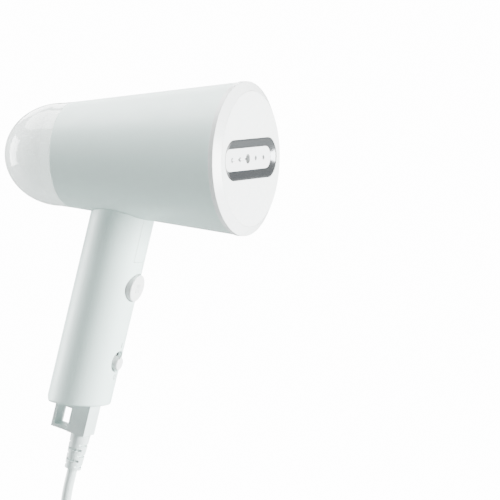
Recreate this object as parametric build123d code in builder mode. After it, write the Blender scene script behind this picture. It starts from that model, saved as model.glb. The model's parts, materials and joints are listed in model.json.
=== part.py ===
from build123d import *
import math
import os

# Handheld garment steamer: a conical barrel with the boiler and pump, a water tank on its rear end
# and a leaning grip with the controls and the mains lead. Millimetres and degrees.
# +X is where the steam leaves, +Z is up, and the origin is the middle of the grip.

os.makedirs("parts", exist_ok=True)

# ---- overall sizes
TILT = 15.0  # lean of the grip, bottom towards the rear
BARREL_Z = 90.0  # barrel axis above the middle of the grip
FRONT_REACH = 75.9  # grip axis to the front rim, along the barrel axis
REAR_REACH = 44.4  # grip axis to the tank seam
BARREL_REAR_R = 33.6
BARREL_FRONT_R = 48.0
BARREL_WALL = 2.5
GRIP_A = 20.4  # half depth of the grip's oval section, front to rear
GRIP_B = 19.0  # half width of the grip's oval section
GRIP_WALL = 2.5
GRIP_END_S = -70.0  # bottom of the grip on its own axis
END_TILT = 3.5  # slope of the grip's bottom face
HEEL_RISE = 5.1  # height of the bevel at the grip's heel
HEEL_SLOPE = 32.0  # slope of that bevel against the grip's section
END_WALL = 2.6
SEAM = 0.15  # visible joint line between two shells
FIT = 0.1  # clearance all round a piece that slips into another
TIGHT = 0.05  # clearance of a shaft, screw or seal

# ---- front of the barrel
LIP = 2.9  # straight edge of the front ring
BEVEL_DEPTH = 3.5
BEVEL_WIDTH = 5.9  # front rim to the flat disc
PANEL_THICK = 2.8
SHELF_WIDTH = 2.5
SHELF_THICK = 2.0
SPIGOT_DEPTH = 5.0
SPIGOT_WALL = 2.2
RECESS_LENGTH = 74.8
RECESS_HEIGHT = 25.2
RECESS_SLOPE_Y = 4.4  # sloping edge of the recess at its round ends
RECESS_SLOPE_Z = 5.6  # the same above and below
NOZZLE_DEPTH = 2.2  # steam plate below the front panel
TRIM_FLANGE = 1.4
TRIM_LEDGE = 2.0  # how far the trim's flange reaches past the recess
NOZZLE_THICK = 2.0
STEAM_HOLE_PITCH = 11.3
STEAM_HOLE_R = 1.5
CENTRE_HOLE_R = 3.0
GROOVE_WIDTH = 1.2
GROOVE_DEPTH = 0.6
GASKET = 1.0

# ---- steam path and boiler
MANIFOLD_DEPTH = 9.0
MANIFOLD_WALL = 2.0
NIPPLE_R = 4.5
NIPPLE_BORE = 3.0
NIPPLE_LENGTH = 6.0
SLEEVE_WALL = 1.8
DUCT_GAP = 14.0
BOILER_WIDTH = 58.0
BOILER_HEIGHT = 46.0
BOILER_CORNER = 12.0
BOILER_RIM = 6.0
COVER_THICK = 10.0
BASE_THICK = 18.0
CHAMBER_DEPTH = 6.0
ELEMENT_R = 3.5
ELEMENT_BEND = 16.0
ELEMENT_TAIL = 4.5  # cold end that stands out below the boiler
BOILER_SCREW_Y = 25.0
BOILER_SCREW_Z = 18.5
SCREW_R = 1.5
HEAD_R = 2.8
HEAD_THICK = 2.0
BRACKET_THICK = 1.5
BRACKET_WINDOW_WIDTH = 36.0
BRACKET_WINDOW_HEIGHT = 40.0
LEDGE_THICK = 4.0
LEDGE_LAND = 3.3  # ledge's inner edge to its screws
LEDGE_SCREW_ROOM = 0.57
THERMOSTAT_R = 8.0
THERMOSTAT_THICK = 7.0
FUSE_R = 2.0
FUSE_LENGTH = 12.0
INLET_R = 3.0
INLET_BORE = 1.5
INLET_LENGTH = 8.0

# ---- rear wall, dock and tank
BULKHEAD = 2.5
DOCK_EDGE = 18.6  # barrel's rear rim up to the axis of the tank outlet, pump and boiler inlet
DOCK_BORE = 7.5
DOCK_WALL = 2.5
DOCK_DEPTH = 11.0
DOCK_FLANGE = 3.0
DOCK_FLOOR = 2.0
PROBE_R = 2.0
HOSE_BORE = 3.05
HOSE_WALL = 1.5
DOCK_NIPPLE = 6.0
HOSE_GAP = 1.0  # between the tips of two nipples in one hose
TANK_WALL = 2.2
TANK_CONE = 8.0
TANK_CONE_DROP = 0.8
TANK_DOME = 38.4
TANK_PLATE = 3.2
TANK_SKIRT = 1.7  # thickness of the front wall's skirt
NECK_LENGTH = 9.0
NECK_BORE = 4.5
SEAL_WIDTH = 1.8
VALVE_STEM_R = 1.5
VALVE_SEAT_R = 3.0
VALVE_TRAVEL = 2.0
VALVE_HEAD_R = 3.8
VALVE_DISC_R = 4.5
VALVE_SEAL_R = 5.3
WASHER = 1.2
FILLER_R = 8.0
FILLER_FLANGE_R = 10.0
FILLER_EDGE = 17.6  # barrel's rear rim down to the filler's axis
FILLER_FLANGE = 1.6
PRONG_Y = 24.0
PRONG_WIDTH = 2.0
PRONG_HEIGHT = 6.0
PRONG_LENGTH = 5.0

# ---- pump
PUMP_TUBE_R = 6.5
PUMP_BORE = 4.0
PUMP_LENGTH = 24.0
PUMP_NIPPLE = 5.5
PUMP_END = 3.0
COIL_R = 12.0
COIL_LENGTH = 16.0
YOKE_THICK = 1.5
YOKE_WIDTH = 24.0
YOKE_EAR_Y = 19.0
PLUNGER_LENGTH = 9.0
SHELF_INNER_Y = 14.0
SHELF_THICK_Z = 2.5
PAD_THICK = 2.0

# ---- grip: neck, front tongue, chassis
NECK_WALL = 2.2
NECK_DROP = 36.0  # lower end of the barrel's neck above the grip's middle
TONGUE_END = 29.5
TONGUE_WIDTH = 15.0
CHASSIS_DEPTH = 14.4  # room behind the chassis for the board
CHASSIS_THICK = 2.0
CHASSIS_WIDTH = 24.0
CHASSIS_RISE = 4.0  # chassis above the grip's bottom
CHASSIS_HIGH = 52.0
POST_R = 2.8
POST_Y = 9.0
POST_S = 44.0
GRIP_SCREW_RISE = 18.2
GRIP_BOSS_R = 4.0

# ---- steam button, its switch and lever
BUTTON_S = 12.5
BUTTON_R = 8.8
BUTTON_GAP = 0.5
BUTTON_PROUD = 1.7
BUTTON_WALL = 1.5
BUTTON_ROOF = 2.0
BUTTON_FLANGE_REACH = 1.9
BUTTON_FLANGE = 2.0
BOSS_WALL = 2.1
BOSS_DEPTH = 6.9  # ring boss behind the button's hole, from the grip's face
STEM_R = 2.0
CARRIER_DEPTH = 11.6
CARRIER_THICK = 1.2
CARRIER_HALF_Y = 10.0
CARRIER_LEG = 1.8
CARRIER_HOLE_R = 3.2
SPRING_WIRE_R = 0.35
BUTTON_SPRING_R = 5.4
LEVER_DEPTH = 13.6
LEVER_THICK = 0.5
LEVER_WIDTH = 4.0
LEVER_ARM = 10.0  # pivot to the button's stem
LEVER_OVERHANG = 2.0
PIVOT_R = 0.5
SWITCH_DEPTH = 17.6
SWITCH_WIDTH = 6.4
SWITCH_LENGTH = 20.0
SWITCH_NUB = 1.8

# ---- on/off slide switch
SLOT_S = -36.4
SLOT_WIDTH = 12.6
SLOT_LENGTH = 14.2
KNOB_S = -37.6
KNOB_R = 4.2
KNOB_PROUD = 1.9
KNOB_PLATE_DEPTH = 7.4
KNOB_PLATE_THICK = 2.0
KNOB_PLATE_WIDTH = 15.0
KNOB_PLATE_LENGTH = 22.0
KNOB_TRAVEL = 3.2
POWER_BODY_GAP = 0.5
POWER_BODY_WIDTH = 12.0
POWER_BODY_LENGTH = 20.0
PEG_WIDTH = 3.0
PEG_DEPTH = 4.0

# ---- control board and mains entry
BOARD_GAP = 3.0
BOARD_THICK = 1.6
BOARD_WIDTH = 20.0
BOARD_LOW = -36.0
BOARD_HIGH = 30.0
TERMINAL_LOW = -23.0
TERMINAL_HIGH = -7.0
TERMINAL_WIDTH = 18.0
TERMINAL_TOP = 6.0
WIRE_R = 1.1
LEAD_Y = 4.8
CORE_Y = 1.6
MAINS_Y = 7.7
LEAD_X = 1.0
LEAD_HOLE_R = 2.2
LEAD_DROP = 29.0  # heater leads below the barrel axis
CORD_X = 6.8  # cord axis in front of the grip's axis
CORD_R = 3.2
BLOCK_DEPTH = 12.5
BLOCK_WIDTH = 14.8
BLOCK_LENGTH = 18.8
LOOP_REACH = 12.3
LOOP_WIDTH = 12.8
LOOP_WALL = 1.7
LOOP_DROP = 3.8
SHANK_DEPTH = 11.0
SHANK_WIDTH = 11.0
SHANK_FLANGE = 2.5
SHANK_FLANGE_REACH = 2.5
RELIEF_LENGTH = 23.5
RELIEF_TOP_WALL = 3.2
RELIEF_END_WALL = 2.1
RELIEF_NECK_WALL = 1.4
RELIEF_NECK = 6.0
RELIEF_SLOT = 1.5
RELIEF_PITCH = 3.65
RELIEF_FIRST = 6.5
RELIEF_CORE_WALL = 0.9
CLAMP_RISE = 12.0
CLAMP_LENGTH = 6.0
CLAMP_TOP = 12.4
CLAMP_HALF_Y = 9.2
CLAMP_SCREW_Y = 6.3
CORD_END_RISE = 15.8  # where the jacket ends above the clamp

# ---- free cord, hank and plug
CORD_DROP = 55.77  # strain relief's tip to the hank
CORD_SWAY = (-7.3, 0.8)
HANK_HEIGHT = 150.0
HANK_WIDTH = 50.0
HANK_DEPTH = 40.0
HANK_WAIST = 20.0
HANK_WAIST_HEIGHT = 26.0
HANK_SHOULDER = 20.0
HANK_CORNER = 1.5
HANK_LOOP_R = 19.2  # cord's centreline in the end loops
HANK_LAYERS = 32.5  # first strand to last strand, front to back
TIE_WIDTH = 12.0
TIE_WALL = 1.2
PLUG_R = 18.5
PLUG_TOP_R = 7.0
PLUG_LENGTH = 34.0
PLUG_STRAIGHT = 12.0
PLUG_DEPTH = 26.0
PLUG_RELIEF = 20.0
PLUG_RELIEF_R = 5.5
PLUG_RELIEF_TOP_WALL = 0.4
PIN_R = 2.4
PIN_LENGTH = 19.0
PIN_SPACING = 19.0

# ---- what follows from them
LEAN = math.radians(TILT)
RIM_X = BARREL_Z * math.tan(LEAN) + FRONT_REACH
SEAM_X = BARREL_Z * math.tan(LEAN) - REAR_REACH
TAPER = (BARREL_FRONT_R - BARREL_REAR_R) / (RIM_X - SEAM_X)
AXIS_S = BARREL_Z / math.cos(LEAN)
HOUSING_END = RIM_X - LIP
DISC_X = RIM_X + BEVEL_DEPTH
PANEL_BACK = DISC_X - PANEL_THICK
TRIM_BACK = PANEL_BACK - TRIM_FLANGE
NOZZLE_FACE = DISC_X - NOZZLE_DEPTH
NOZZLE_BACK = TRIM_BACK - NOZZLE_THICK
MANIFOLD_FACE = NOZZLE_BACK - GASKET
MANIFOLD_BACK = MANIFOLD_FACE - MANIFOLD_DEPTH
COVER_FACE = MANIFOLD_BACK - DUCT_GAP
COVER_BACK = COVER_FACE - COVER_THICK
BASE_FACE = COVER_BACK - GASKET
BASE_BACK = BASE_FACE - BASE_THICK
LEDGE_FACE = BASE_BACK - BRACKET_THICK
BULKHEAD_FACE = SEAM_X + BULKHEAD
DOCK_FLOOR_X = BULKHEAD_FACE + DOCK_DEPTH - BULKHEAD
DOCK_END = DOCK_FLOOR_X + DOCK_FLOOR + DOCK_NIPPLE
TANK_FACE = SEAM_X - SEAM
NECK_END = TANK_FACE + NECK_LENGTH
DOCK_DROP = BARREL_REAR_R - DOCK_EDGE
DOCK_Z = BARREL_Z - DOCK_DROP
FILLER_RISE = BARREL_REAR_R - FILLER_EDGE
PUMP_X = DOCK_END + HOSE_GAP + PUMP_NIPPLE
DOCK_R = DOCK_BORE + DOCK_WALL
DISC_R = BARREL_FRONT_R - BEVEL_WIDTH
PLATE_LENGTH = RECESS_LENGTH - 2 * RECESS_SLOPE_Y
PLATE_HEIGHT = RECESS_HEIGHT - 2 * RECESS_SLOPE_Z
CHASSIS_X = CHASSIS_DEPTH - GRIP_A
CHASSIS_LOW = GRIP_END_S + CHASSIS_RISE
GRIP_SCREW_S = GRIP_END_S + GRIP_SCREW_RISE
CLAMP_S = GRIP_END_S + CLAMP_RISE
CORD_END_S = GRIP_END_S + CORD_END_RISE
BLOCK_END_S = GRIP_END_S - BLOCK_LENGTH
RELIEF_END_S = BLOCK_END_S - RELIEF_LENGTH
LOOP_TOP_S = GRIP_END_S - LOOP_DROP
CARRIER_TOP = GRIP_A - CARRIER_DEPTH
LEVER_TOP = GRIP_A - LEVER_DEPTH
SWITCH_TOP = GRIP_A - SWITCH_DEPTH
KNOB_PLATE_X = GRIP_A - KNOB_PLATE_DEPTH
POWER_BODY_TOP = KNOB_PLATE_X - POWER_BODY_GAP
BOSS_BACK = GRIP_A - BOSS_DEPTH
RELIEF_TOP_R = CORD_R + RELIEF_TOP_WALL
RELIEF_END_R = CORD_R + RELIEF_END_WALL
RELIEF_NECK_R = CORD_R + RELIEF_NECK_WALL
RELIEF_CORE_R = CORD_R + RELIEF_CORE_WALL

BARREL_AXIS = Axis((0, 0, BARREL_Z), (1, 0, 0))
DOCK_AXIS = Axis((0, 0, DOCK_Z), (1, 0, 0))
FORWARD = (math.cos(LEAN), 0, -math.sin(LEAN))
UPWARD = (math.sin(LEAN), 0, math.cos(LEAN))
GRIP = Plane(origin=(0, 0, 0), x_dir=FORWARD, z_dir=UPWARD)
GRIP_FRONT = Plane(origin=(0, 0, 0), x_dir=(0, 1, 0), z_dir=FORWARD)
GRIP_SIDE = Plane(origin=(0, 0, 0), x_dir=FORWARD, z_dir=(0, -1, 0))


def barrel_r(x):
    """Outer radius of the barrel at x."""
    return BARREL_REAR_R + TAPER * (x - SEAM_X)


def across(x, z=BARREL_Z):
    """Plane across the barrel at x: its own x is +Y and its own y is +Z."""
    return Plane(origin=(x, 0, z), x_dir=(0, 1, 0), z_dir=(1, 0, 0))


def outline(points, axis_z=BARREL_Z):
    """Closed half section of (x, radius) points, to be turned about the axis at height axis_z."""
    with BuildSketch(Plane.XZ) as section:
        with BuildLine():
            Polyline([(x, axis_z + r) for x, r in points], close=True)
        make_face()
    return section.sketch


def tube_outline(x0, x1, outer, inner, axis_z=BARREL_Z):
    """Half section of a plain tube or ring."""
    return outline([(x0, inner), (x0, outer), (x1, outer), (x1, inner)], axis_z)


def grip_point(x, s, y=0.0):
    """World place of a point given forward of, along and beside the grip's axis."""
    return Vector(x * FORWARD[0] + s * UPWARD[0], y, x * FORWARD[2] + s * UPWARD[2])


# the grip's bottom face and the bevel at its heel
END_ORIGIN = grip_point(0, GRIP_END_S)
END_LEAN = math.radians(END_TILT)
END_FACE = Plane(
    origin=END_ORIGIN,
    x_dir=(math.cos(END_LEAN), 0, -math.sin(END_LEAN)),
    z_dir=(math.sin(END_LEAN), 0, math.cos(END_LEAN)),
)
HEEL_S = GRIP_END_S - GRIP_A * math.tan(LEAN - END_LEAN) + HEEL_RISE
HEEL_LEAN = LEAN + math.radians(HEEL_SLOPE)
HEEL_FACE = Plane(
    origin=grip_point(-GRIP_A, HEEL_S),
    x_dir=(math.cos(HEEL_LEAN), 0, -math.sin(HEEL_LEAN)),
    z_dir=(math.sin(HEEL_LEAN), 0, math.cos(HEEL_LEAN)),
)
GRIP_BELOW = GRIP_END_S - GRIP_A
GRIP_ABOVE = AXIS_S - BARREL_REAR_R / 2


def grip_bar(a, b, low, high):
    """Oval bar along the grip's axis."""
    with BuildPart() as bar:
        with BuildSketch(GRIP.offset(low)):
            Ellipse(a, b)
        extrude(amount=high - low)
    return bar.part


def cone_solid(shrink, x0, x1):
    """Solid of the barrel's cone, its radius less by shrink."""
    with BuildPart() as cone:
        revolve(
            outline([(x0, 0), (x0, barrel_r(x0) - shrink), (x1, barrel_r(x1) - shrink), (x1, 0)]),
            axis=BARREL_AXIS,
        )
    return cone.part


# ================================================================ barrel housing
NECK_A = GRIP_A - GRIP_WALL - FIT
NECK_B = GRIP_B - GRIP_WALL - FIT
CHASSIS_FRONT = CHASSIS_X + CHASSIS_THICK
SHELF_TOP = DOCK_Z + COIL_R + FIT - PAD_THICK
SHELF_END = LEDGE_FACE - LEDGE_THICK
LEDGE_SCREW_R = barrel_r(SHELF_END) - BARREL_WALL - HEAD_R - LEDGE_SCREW_ROOM
LEDGE_R = LEDGE_SCREW_R - LEDGE_LAND
boiler_corners = [(a * BOILER_SCREW_Y, b * BOILER_SCREW_Z) for a in (1, -1) for b in (1, -1)]

with BuildPart() as pump_shelves:
    with BuildSketch(Plane.XY.offset(SHELF_TOP - SHELF_THICK_Z)):
        for side in (1, -1):
            with Locations(((BULKHEAD_FACE + SHELF_END) / 2, side * (SHELF_INNER_Y + BARREL_REAR_R / 2))):
                Rectangle(SHELF_END - BULKHEAD_FACE, BARREL_REAR_R)
    extrude(amount=SHELF_THICK_Z)
    add(cone_solid(BARREL_WALL / 2, SEAM_X, RIM_X), mode=Mode.INTERSECT)

with BuildPart() as chassis_posts:
    with BuildSketch(GRIP_FRONT.offset(CHASSIS_FRONT)):
        with Locations((POST_Y, POST_S), (-POST_Y, POST_S)):
            Circle(POST_R)
    extrude(amount=GRIP_A - CHASSIS_FRONT)
    add(grip_bar(NECK_A - NECK_WALL / 2, NECK_B - NECK_WALL / 2, NECK_DROP, AXIS_S), mode=Mode.INTERSECT)

with BuildPart() as barrel_housing:
    add(cone_solid(0, SEAM_X, HOUSING_END))
    with BuildSketch(GRIP.offset(NECK_DROP)):
        Ellipse(NECK_A, NECK_B)
    extrude(amount=GRIP_ABOVE - NECK_DROP)
    with BuildSketch(GRIP.offset(TONGUE_END)):
        Ellipse(GRIP_A, GRIP_B)
        with Locations((NECK_A - NECK_WALL / 2 + GRIP_A, 0)):
            Rectangle(2 * GRIP_A, TONGUE_WIDTH, mode=Mode.INTERSECT)
    extrude(amount=GRIP_ABOVE - TONGUE_END)
    add(cone_solid(BARREL_WALL, BULKHEAD_FACE, RIM_X), mode=Mode.SUBTRACT)
    with BuildSketch(GRIP.offset(NECK_DROP)):
        Ellipse(NECK_A - NECK_WALL, NECK_B - NECK_WALL)
    extrude(amount=GRIP_ABOVE - NECK_DROP, mode=Mode.SUBTRACT)
    revolve(
        outline(
            [
                (SHELF_END, LEDGE_R),
                (SHELF_END, barrel_r(SHELF_END) - BARREL_WALL / 2),
                (LEDGE_FACE, barrel_r(LEDGE_FACE) - BARREL_WALL / 2),
                (LEDGE_FACE, LEDGE_R),
            ]
        ),
        axis=BARREL_AXIS,
    )
    add(pump_shelves.part)
    add(chassis_posts.part)
    with BuildSketch(across(LEDGE_FACE)):
        with PolarLocations(LEDGE_SCREW_R, 4):
            Circle(SCREW_R + TIGHT)
        with Locations((ELEMENT_BEND, -LEAD_DROP), (-ELEMENT_BEND, -LEAD_DROP)):
            Circle(LEAD_HOLE_R)
        with Locations(*boiler_corners):
            Circle(HEAD_R + 0.4)
    extrude(amount=-LEDGE_THICK, mode=Mode.SUBTRACT)
    with BuildSketch(GRIP_FRONT.offset(CHASSIS_FRONT)):
        with Locations((POST_Y, POST_S), (-POST_Y, POST_S)):
            Circle(SCREW_R + TIGHT)
    extrude(amount=8, mode=Mode.SUBTRACT)
    with BuildSketch(across(BULKHEAD_FACE)):
        with Locations((0, -DOCK_DROP)):
            Circle(DOCK_R + FIT)
        with Locations((PRONG_Y, 0), (-PRONG_Y, 0)):
            Rectangle(PRONG_WIDTH + 0.6, PRONG_HEIGHT + 0.6)
    extrude(amount=-BULKHEAD, mode=Mode.SUBTRACT)
barrel_housing.part.label = "barrel_housing"
export_step(barrel_housing.part, "parts/barrel_housing.step")

# ================================================================ grip shell
HOLE_R = BUTTON_R + BUTTON_GAP

with BuildPart() as grip_cavity:
    add(grip_bar(GRIP_A - GRIP_WALL, GRIP_B - GRIP_WALL, GRIP_BELOW, GRIP_ABOVE))
    split(bisect_by=END_FACE.offset(END_WALL), keep=Keep.TOP)
    split(bisect_by=HEEL_FACE.offset(END_WALL), keep=Keep.TOP)

with BuildPart() as grip_bosses:
    with BuildSketch(GRIP_FRONT.offset(BOSS_BACK)):
        with Locations((0, BUTTON_S)):
            Circle(HOLE_R + BOSS_WALL)
    extrude(amount=GRIP_A)
    with BuildSketch(GRIP_FRONT.offset(CHASSIS_X)):
        with Locations((0, GRIP_SCREW_S)):
            Circle(GRIP_BOSS_R)
    extrude(amount=-GRIP_A)
    add(
        grip_bar(GRIP_A - GRIP_WALL / 2, GRIP_B - GRIP_WALL / 2, GRIP_BELOW, GRIP_ABOVE),
        mode=Mode.INTERSECT,
    )

with BuildPart() as grip_shell:
    add(grip_bar(GRIP_A, GRIP_B, GRIP_BELOW, GRIP_ABOVE))
    split(bisect_by=END_FACE, keep=Keep.TOP)
    split(bisect_by=HEEL_FACE, keep=Keep.TOP)
    fillet(grip_shell.faces().sort_by(Axis.Z)[:2].edges(), radius=1.5)
    add(cone_solid(-SEAM, SEAM_X - GRIP_A, RIM_X), mode=Mode.SUBTRACT)
    add(grip_cavity.part, mode=Mode.SUBTRACT)
    with BuildSketch(GRIP.offset(TONGUE_END - SEAM)):
        with Locations((GRIP_A, 0)):
            Rectangle(GRIP_A, TONGUE_WIDTH + 2 * SEAM)
    extrude(amount=GRIP_ABOVE, mode=Mode.SUBTRACT)
    add(grip_bosses.part)
    with BuildSketch(GRIP_FRONT.offset(BOSS_BACK)):
        with Locations((0, BUTTON_S)):
            Circle(HOLE_R)
    extrude(amount=GRIP_A, mode=Mode.SUBTRACT)
    with BuildSketch(GRIP_FRONT.offset(KNOB_PLATE_X + KNOB_PLATE_THICK)):
        with Locations((0, SLOT_S)):
            SlotOverall(SLOT_LENGTH, SLOT_WIDTH, rotation=90)
    extrude(amount=GRIP_A, mode=Mode.SUBTRACT)
    with BuildSketch(GRIP_FRONT.offset(CHASSIS_X)):
        with Locations((0, GRIP_SCREW_S)):
            Circle(SCREW_R + FIT)
    extrude(amount=-GRIP_A, mode=Mode.SUBTRACT)
    with BuildSketch(GRIP_FRONT.offset(CHASSIS_X - 2)):
        with Locations((0, GRIP_SCREW_S)):
            Circle(HEAD_R + FIT)
    extrude(amount=-GRIP_A, mode=Mode.SUBTRACT)
    with BuildSketch(END_FACE.offset(-1)):
        with Locations((CORD_X - 0.5, 0)):
            Rectangle(SHANK_DEPTH + 2 * FIT, SHANK_WIDTH + 2 * FIT)
    extrude(amount=END_WALL + 3, mode=Mode.SUBTRACT)
grip_shell.part.label = "grip_shell"
export_step(grip_shell.part, "parts/grip_shell.step")

# ================================================================ front of the barrel
spigot_back = HOUSING_END - SPIGOT_DEPTH
with BuildPart() as front_ring:
    revolve(
        outline(
            [
                (HOUSING_END, BARREL_FRONT_R),
                (RIM_X, BARREL_FRONT_R),
                (DISC_X, DISC_R + FIT),
                (PANEL_BACK, DISC_R + FIT),
                (PANEL_BACK, DISC_R - SHELF_WIDTH),
                (PANEL_BACK - SHELF_THICK, DISC_R - SHELF_WIDTH),
                (PANEL_BACK - SHELF_THICK, barrel_r(HOUSING_END) - BARREL_WALL - SPIGOT_WALL),
                (spigot_back, barrel_r(spigot_back) - BARREL_WALL - SPIGOT_WALL),
                (spigot_back, barrel_r(spigot_back) - BARREL_WALL - FIT),
                (HOUSING_END, barrel_r(HOUSING_END) - BARREL_WALL - FIT),
            ]
        ),
        axis=BARREL_AXIS,
    )
front_ring.part.label = "front_ring"
export_step(front_ring.part, "parts/front_ring.step")

SCREW_Y = 20.0
SCREW_Z = RECESS_HEIGHT / 2 + TRIM_LEDGE + 4.6
with BuildPart() as front_panel:
    with BuildSketch(across(DISC_X)):
        Circle(DISC_R)
        SlotOverall(RECESS_LENGTH, RECESS_HEIGHT, mode=Mode.SUBTRACT)
    extrude(amount=-PANEL_THICK)
    with BuildSketch(across(PANEL_BACK)):
        with GridLocations(2 * SCREW_Y, 2 * SCREW_Z, 2, 2):
            Circle(3.5)
    extrude(amount=-(PANEL_BACK - MANIFOLD_FACE))
    with BuildSketch(across(MANIFOLD_FACE)):
        with GridLocations(2 * SCREW_Y, 2 * SCREW_Z, 2, 2):
            Circle(SCREW_R + TIGHT)
    extrude(amount=PANEL_BACK - MANIFOLD_FACE + 1, mode=Mode.SUBTRACT)
front_panel.part.label = "front_panel"
export_step(front_panel.part, "parts/front_panel.step")

with BuildPart() as nozzle_trim:
    with BuildSketch(across(PANEL_BACK)):
        SlotOverall(RECESS_LENGTH - 2 * FIT, RECESS_HEIGHT - 2 * FIT)
    extrude(amount=PANEL_THICK - 0.2)
    with BuildSketch(across(PANEL_BACK)):
        SlotOverall(RECESS_LENGTH + 2 * TRIM_LEDGE, RECESS_HEIGHT + 2 * TRIM_LEDGE)
    extrude(amount=-TRIM_FLANGE)
    with BuildSketch(across(NOZZLE_FACE)):
        SlotOverall(PLATE_LENGTH, PLATE_HEIGHT)
    with BuildSketch(across(DISC_X)):
        SlotOverall(RECESS_LENGTH - 1.2, RECESS_HEIGHT - 1.2)
    loft(mode=Mode.SUBTRACT)
    with BuildSketch(across(TRIM_BACK)):
        SlotOverall(PLATE_LENGTH, PLATE_HEIGHT)
    extrude(amount=PANEL_THICK, mode=Mode.SUBTRACT)
nozzle_trim.part.label = "nozzle_trim"
export_step(nozzle_trim.part, "parts/nozzle_trim.step")

with BuildPart() as nozzle_plate:
    with BuildSketch(across(NOZZLE_FACE)):
        SlotOverall(PLATE_LENGTH - 2 * FIT, PLATE_HEIGHT - 2 * FIT)
    extrude(amount=-(NOZZLE_FACE - TRIM_BACK))
    with BuildSketch(across(TRIM_BACK)):
        SlotOverall(RECESS_LENGTH, RECESS_HEIGHT)
    extrude(amount=-NOZZLE_THICK)
    with BuildSketch(across(NOZZLE_FACE)):
        with Locations((-STEAM_HOLE_PITCH, 0)):
            Rectangle(2 * STEAM_HOLE_PITCH, GROOVE_WIDTH)
    extrude(amount=-GROOVE_DEPTH, mode=Mode.SUBTRACT)
    with BuildSketch(across(NOZZLE_FACE)):
        Circle(CENTRE_HOLE_R)
        for step in (-2, -1, 1, 2):
            with Locations((step * STEAM_HOLE_PITCH, 0)):
                Circle(STEAM_HOLE_R)
    extrude(amount=-(NOZZLE_FACE - NOZZLE_BACK), mode=Mode.SUBTRACT)
nozzle_plate.part.label = "nozzle_plate"
export_step(nozzle_plate.part, "parts/nozzle_plate.step")

# ================================================================ steam path
with BuildPart() as manifold_gasket:
    with BuildSketch(across(NOZZLE_BACK)):
        SlotOverall(RECESS_LENGTH, RECESS_HEIGHT)
        SlotOverall(
            RECESS_LENGTH - 2 * MANIFOLD_WALL, RECESS_HEIGHT - 2 * MANIFOLD_WALL, mode=Mode.SUBTRACT
        )
    extrude(amount=-GASKET)
manifold_gasket.part.label = "manifold_gasket"
export_step(manifold_gasket.part, "parts/manifold_gasket.step")

EAR_THICK = 2.5
with BuildPart() as steam_manifold:
    with BuildSketch(across(MANIFOLD_FACE)):
        SlotOverall(RECESS_LENGTH, RECESS_HEIGHT)
    extrude(amount=-MANIFOLD_DEPTH)
    with BuildSketch(across(MANIFOLD_FACE)):
        with Locations((SCREW_Y, 0), (-SCREW_Y, 0)):
            SlotOverall(2 * SCREW_Z + 8, 8, rotation=90)
    extrude(amount=-EAR_THICK)
    with BuildSketch(across(MANIFOLD_BACK)):
        Circle(NIPPLE_R)
    extrude(amount=-NIPPLE_LENGTH)
    with BuildSketch(across(MANIFOLD_FACE)):
        SlotOverall(RECESS_LENGTH - 2 * MANIFOLD_WALL, RECESS_HEIGHT - 2 * MANIFOLD_WALL)
    extrude(amount=-(MANIFOLD_DEPTH - MANIFOLD_WALL), mode=Mode.SUBTRACT)
    with BuildSketch(across(MANIFOLD_FACE)):
        Circle(NIPPLE_BORE)
    extrude(amount=-(MANIFOLD_DEPTH + NIPPLE_LENGTH), mode=Mode.SUBTRACT)
    with BuildSketch(across(MANIFOLD_FACE)):
        with GridLocations(2 * SCREW_Y, 2 * SCREW_Z, 2, 2):
            Circle(SCREW_R + TIGHT)
    extrude(amount=-EAR_THICK, mode=Mode.SUBTRACT)
steam_manifold.part.label = "steam_manifold"
export_step(steam_manifold.part, "parts/steam_manifold.step")


def screws(plane, places, length):
    """Pan-head screws with their heads on the plane, shanks along the plane's z."""
    with BuildPart() as group:
        with BuildSketch(plane):
            with Locations(*places):
                Circle(SCREW_R)
        extrude(amount=length)
        with BuildSketch(plane):
            with Locations(*places):
                Circle(HEAD_R)
        extrude(amount=-HEAD_THICK)
    return group.part


with BuildPart() as manifold_screws:
    corners = [(a * SCREW_Y, b * SCREW_Z) for a in (1, -1) for b in (1, -1)]
    add(screws(across(MANIFOLD_FACE - EAR_THICK), corners, EAR_THICK + 4))
manifold_screws.part.label = "manifold_screws"
export_step(manifold_screws.part, "parts/manifold_screws.step")

with BuildPart() as steam_duct:
    revolve(
        tube_outline(COVER_FACE + 1, MANIFOLD_BACK - 1, NIPPLE_R + TIGHT + SLEEVE_WALL, NIPPLE_R + TIGHT),
        axis=BARREL_AXIS,
    )
steam_duct.part.label = "steam_duct"
export_step(steam_duct.part, "parts/steam_duct.step")

CHAMBER_WIDTH = BOILER_WIDTH - 2 * BOILER_RIM
CHAMBER_HEIGHT = BOILER_HEIGHT - 2 * BOILER_RIM

with BuildPart() as boiler_cover:
    with BuildSketch(across(COVER_FACE)):
        RectangleRounded(BOILER_WIDTH, BOILER_HEIGHT, BOILER_CORNER / 2)
    extrude(amount=-COVER_THICK)
    chamfer(boiler_cover.faces().sort_by(Axis.X)[-1].edges(), length=1.5)
    with BuildSketch(across(COVER_FACE)):
        Circle(NIPPLE_R)
    extrude(amount=NIPPLE_LENGTH)
    with BuildSketch(across(COVER_BACK)):
        RectangleRounded(CHAMBER_WIDTH, CHAMBER_HEIGHT, BOILER_CORNER)
    extrude(amount=CHAMBER_DEPTH, mode=Mode.SUBTRACT)
    with BuildSketch(across(COVER_BACK)):
        Circle(NIPPLE_BORE)
    extrude(amount=COVER_THICK + NIPPLE_LENGTH, mode=Mode.SUBTRACT)
    with BuildSketch(across(COVER_BACK)):
        with Locations(*boiler_corners):
            Circle(SCREW_R + TIGHT)
    extrude(amount=COVER_THICK, mode=Mode.SUBTRACT)
boiler_cover.part.label = "boiler_cover"
export_step(boiler_cover.part, "parts/boiler_cover.step")

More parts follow.
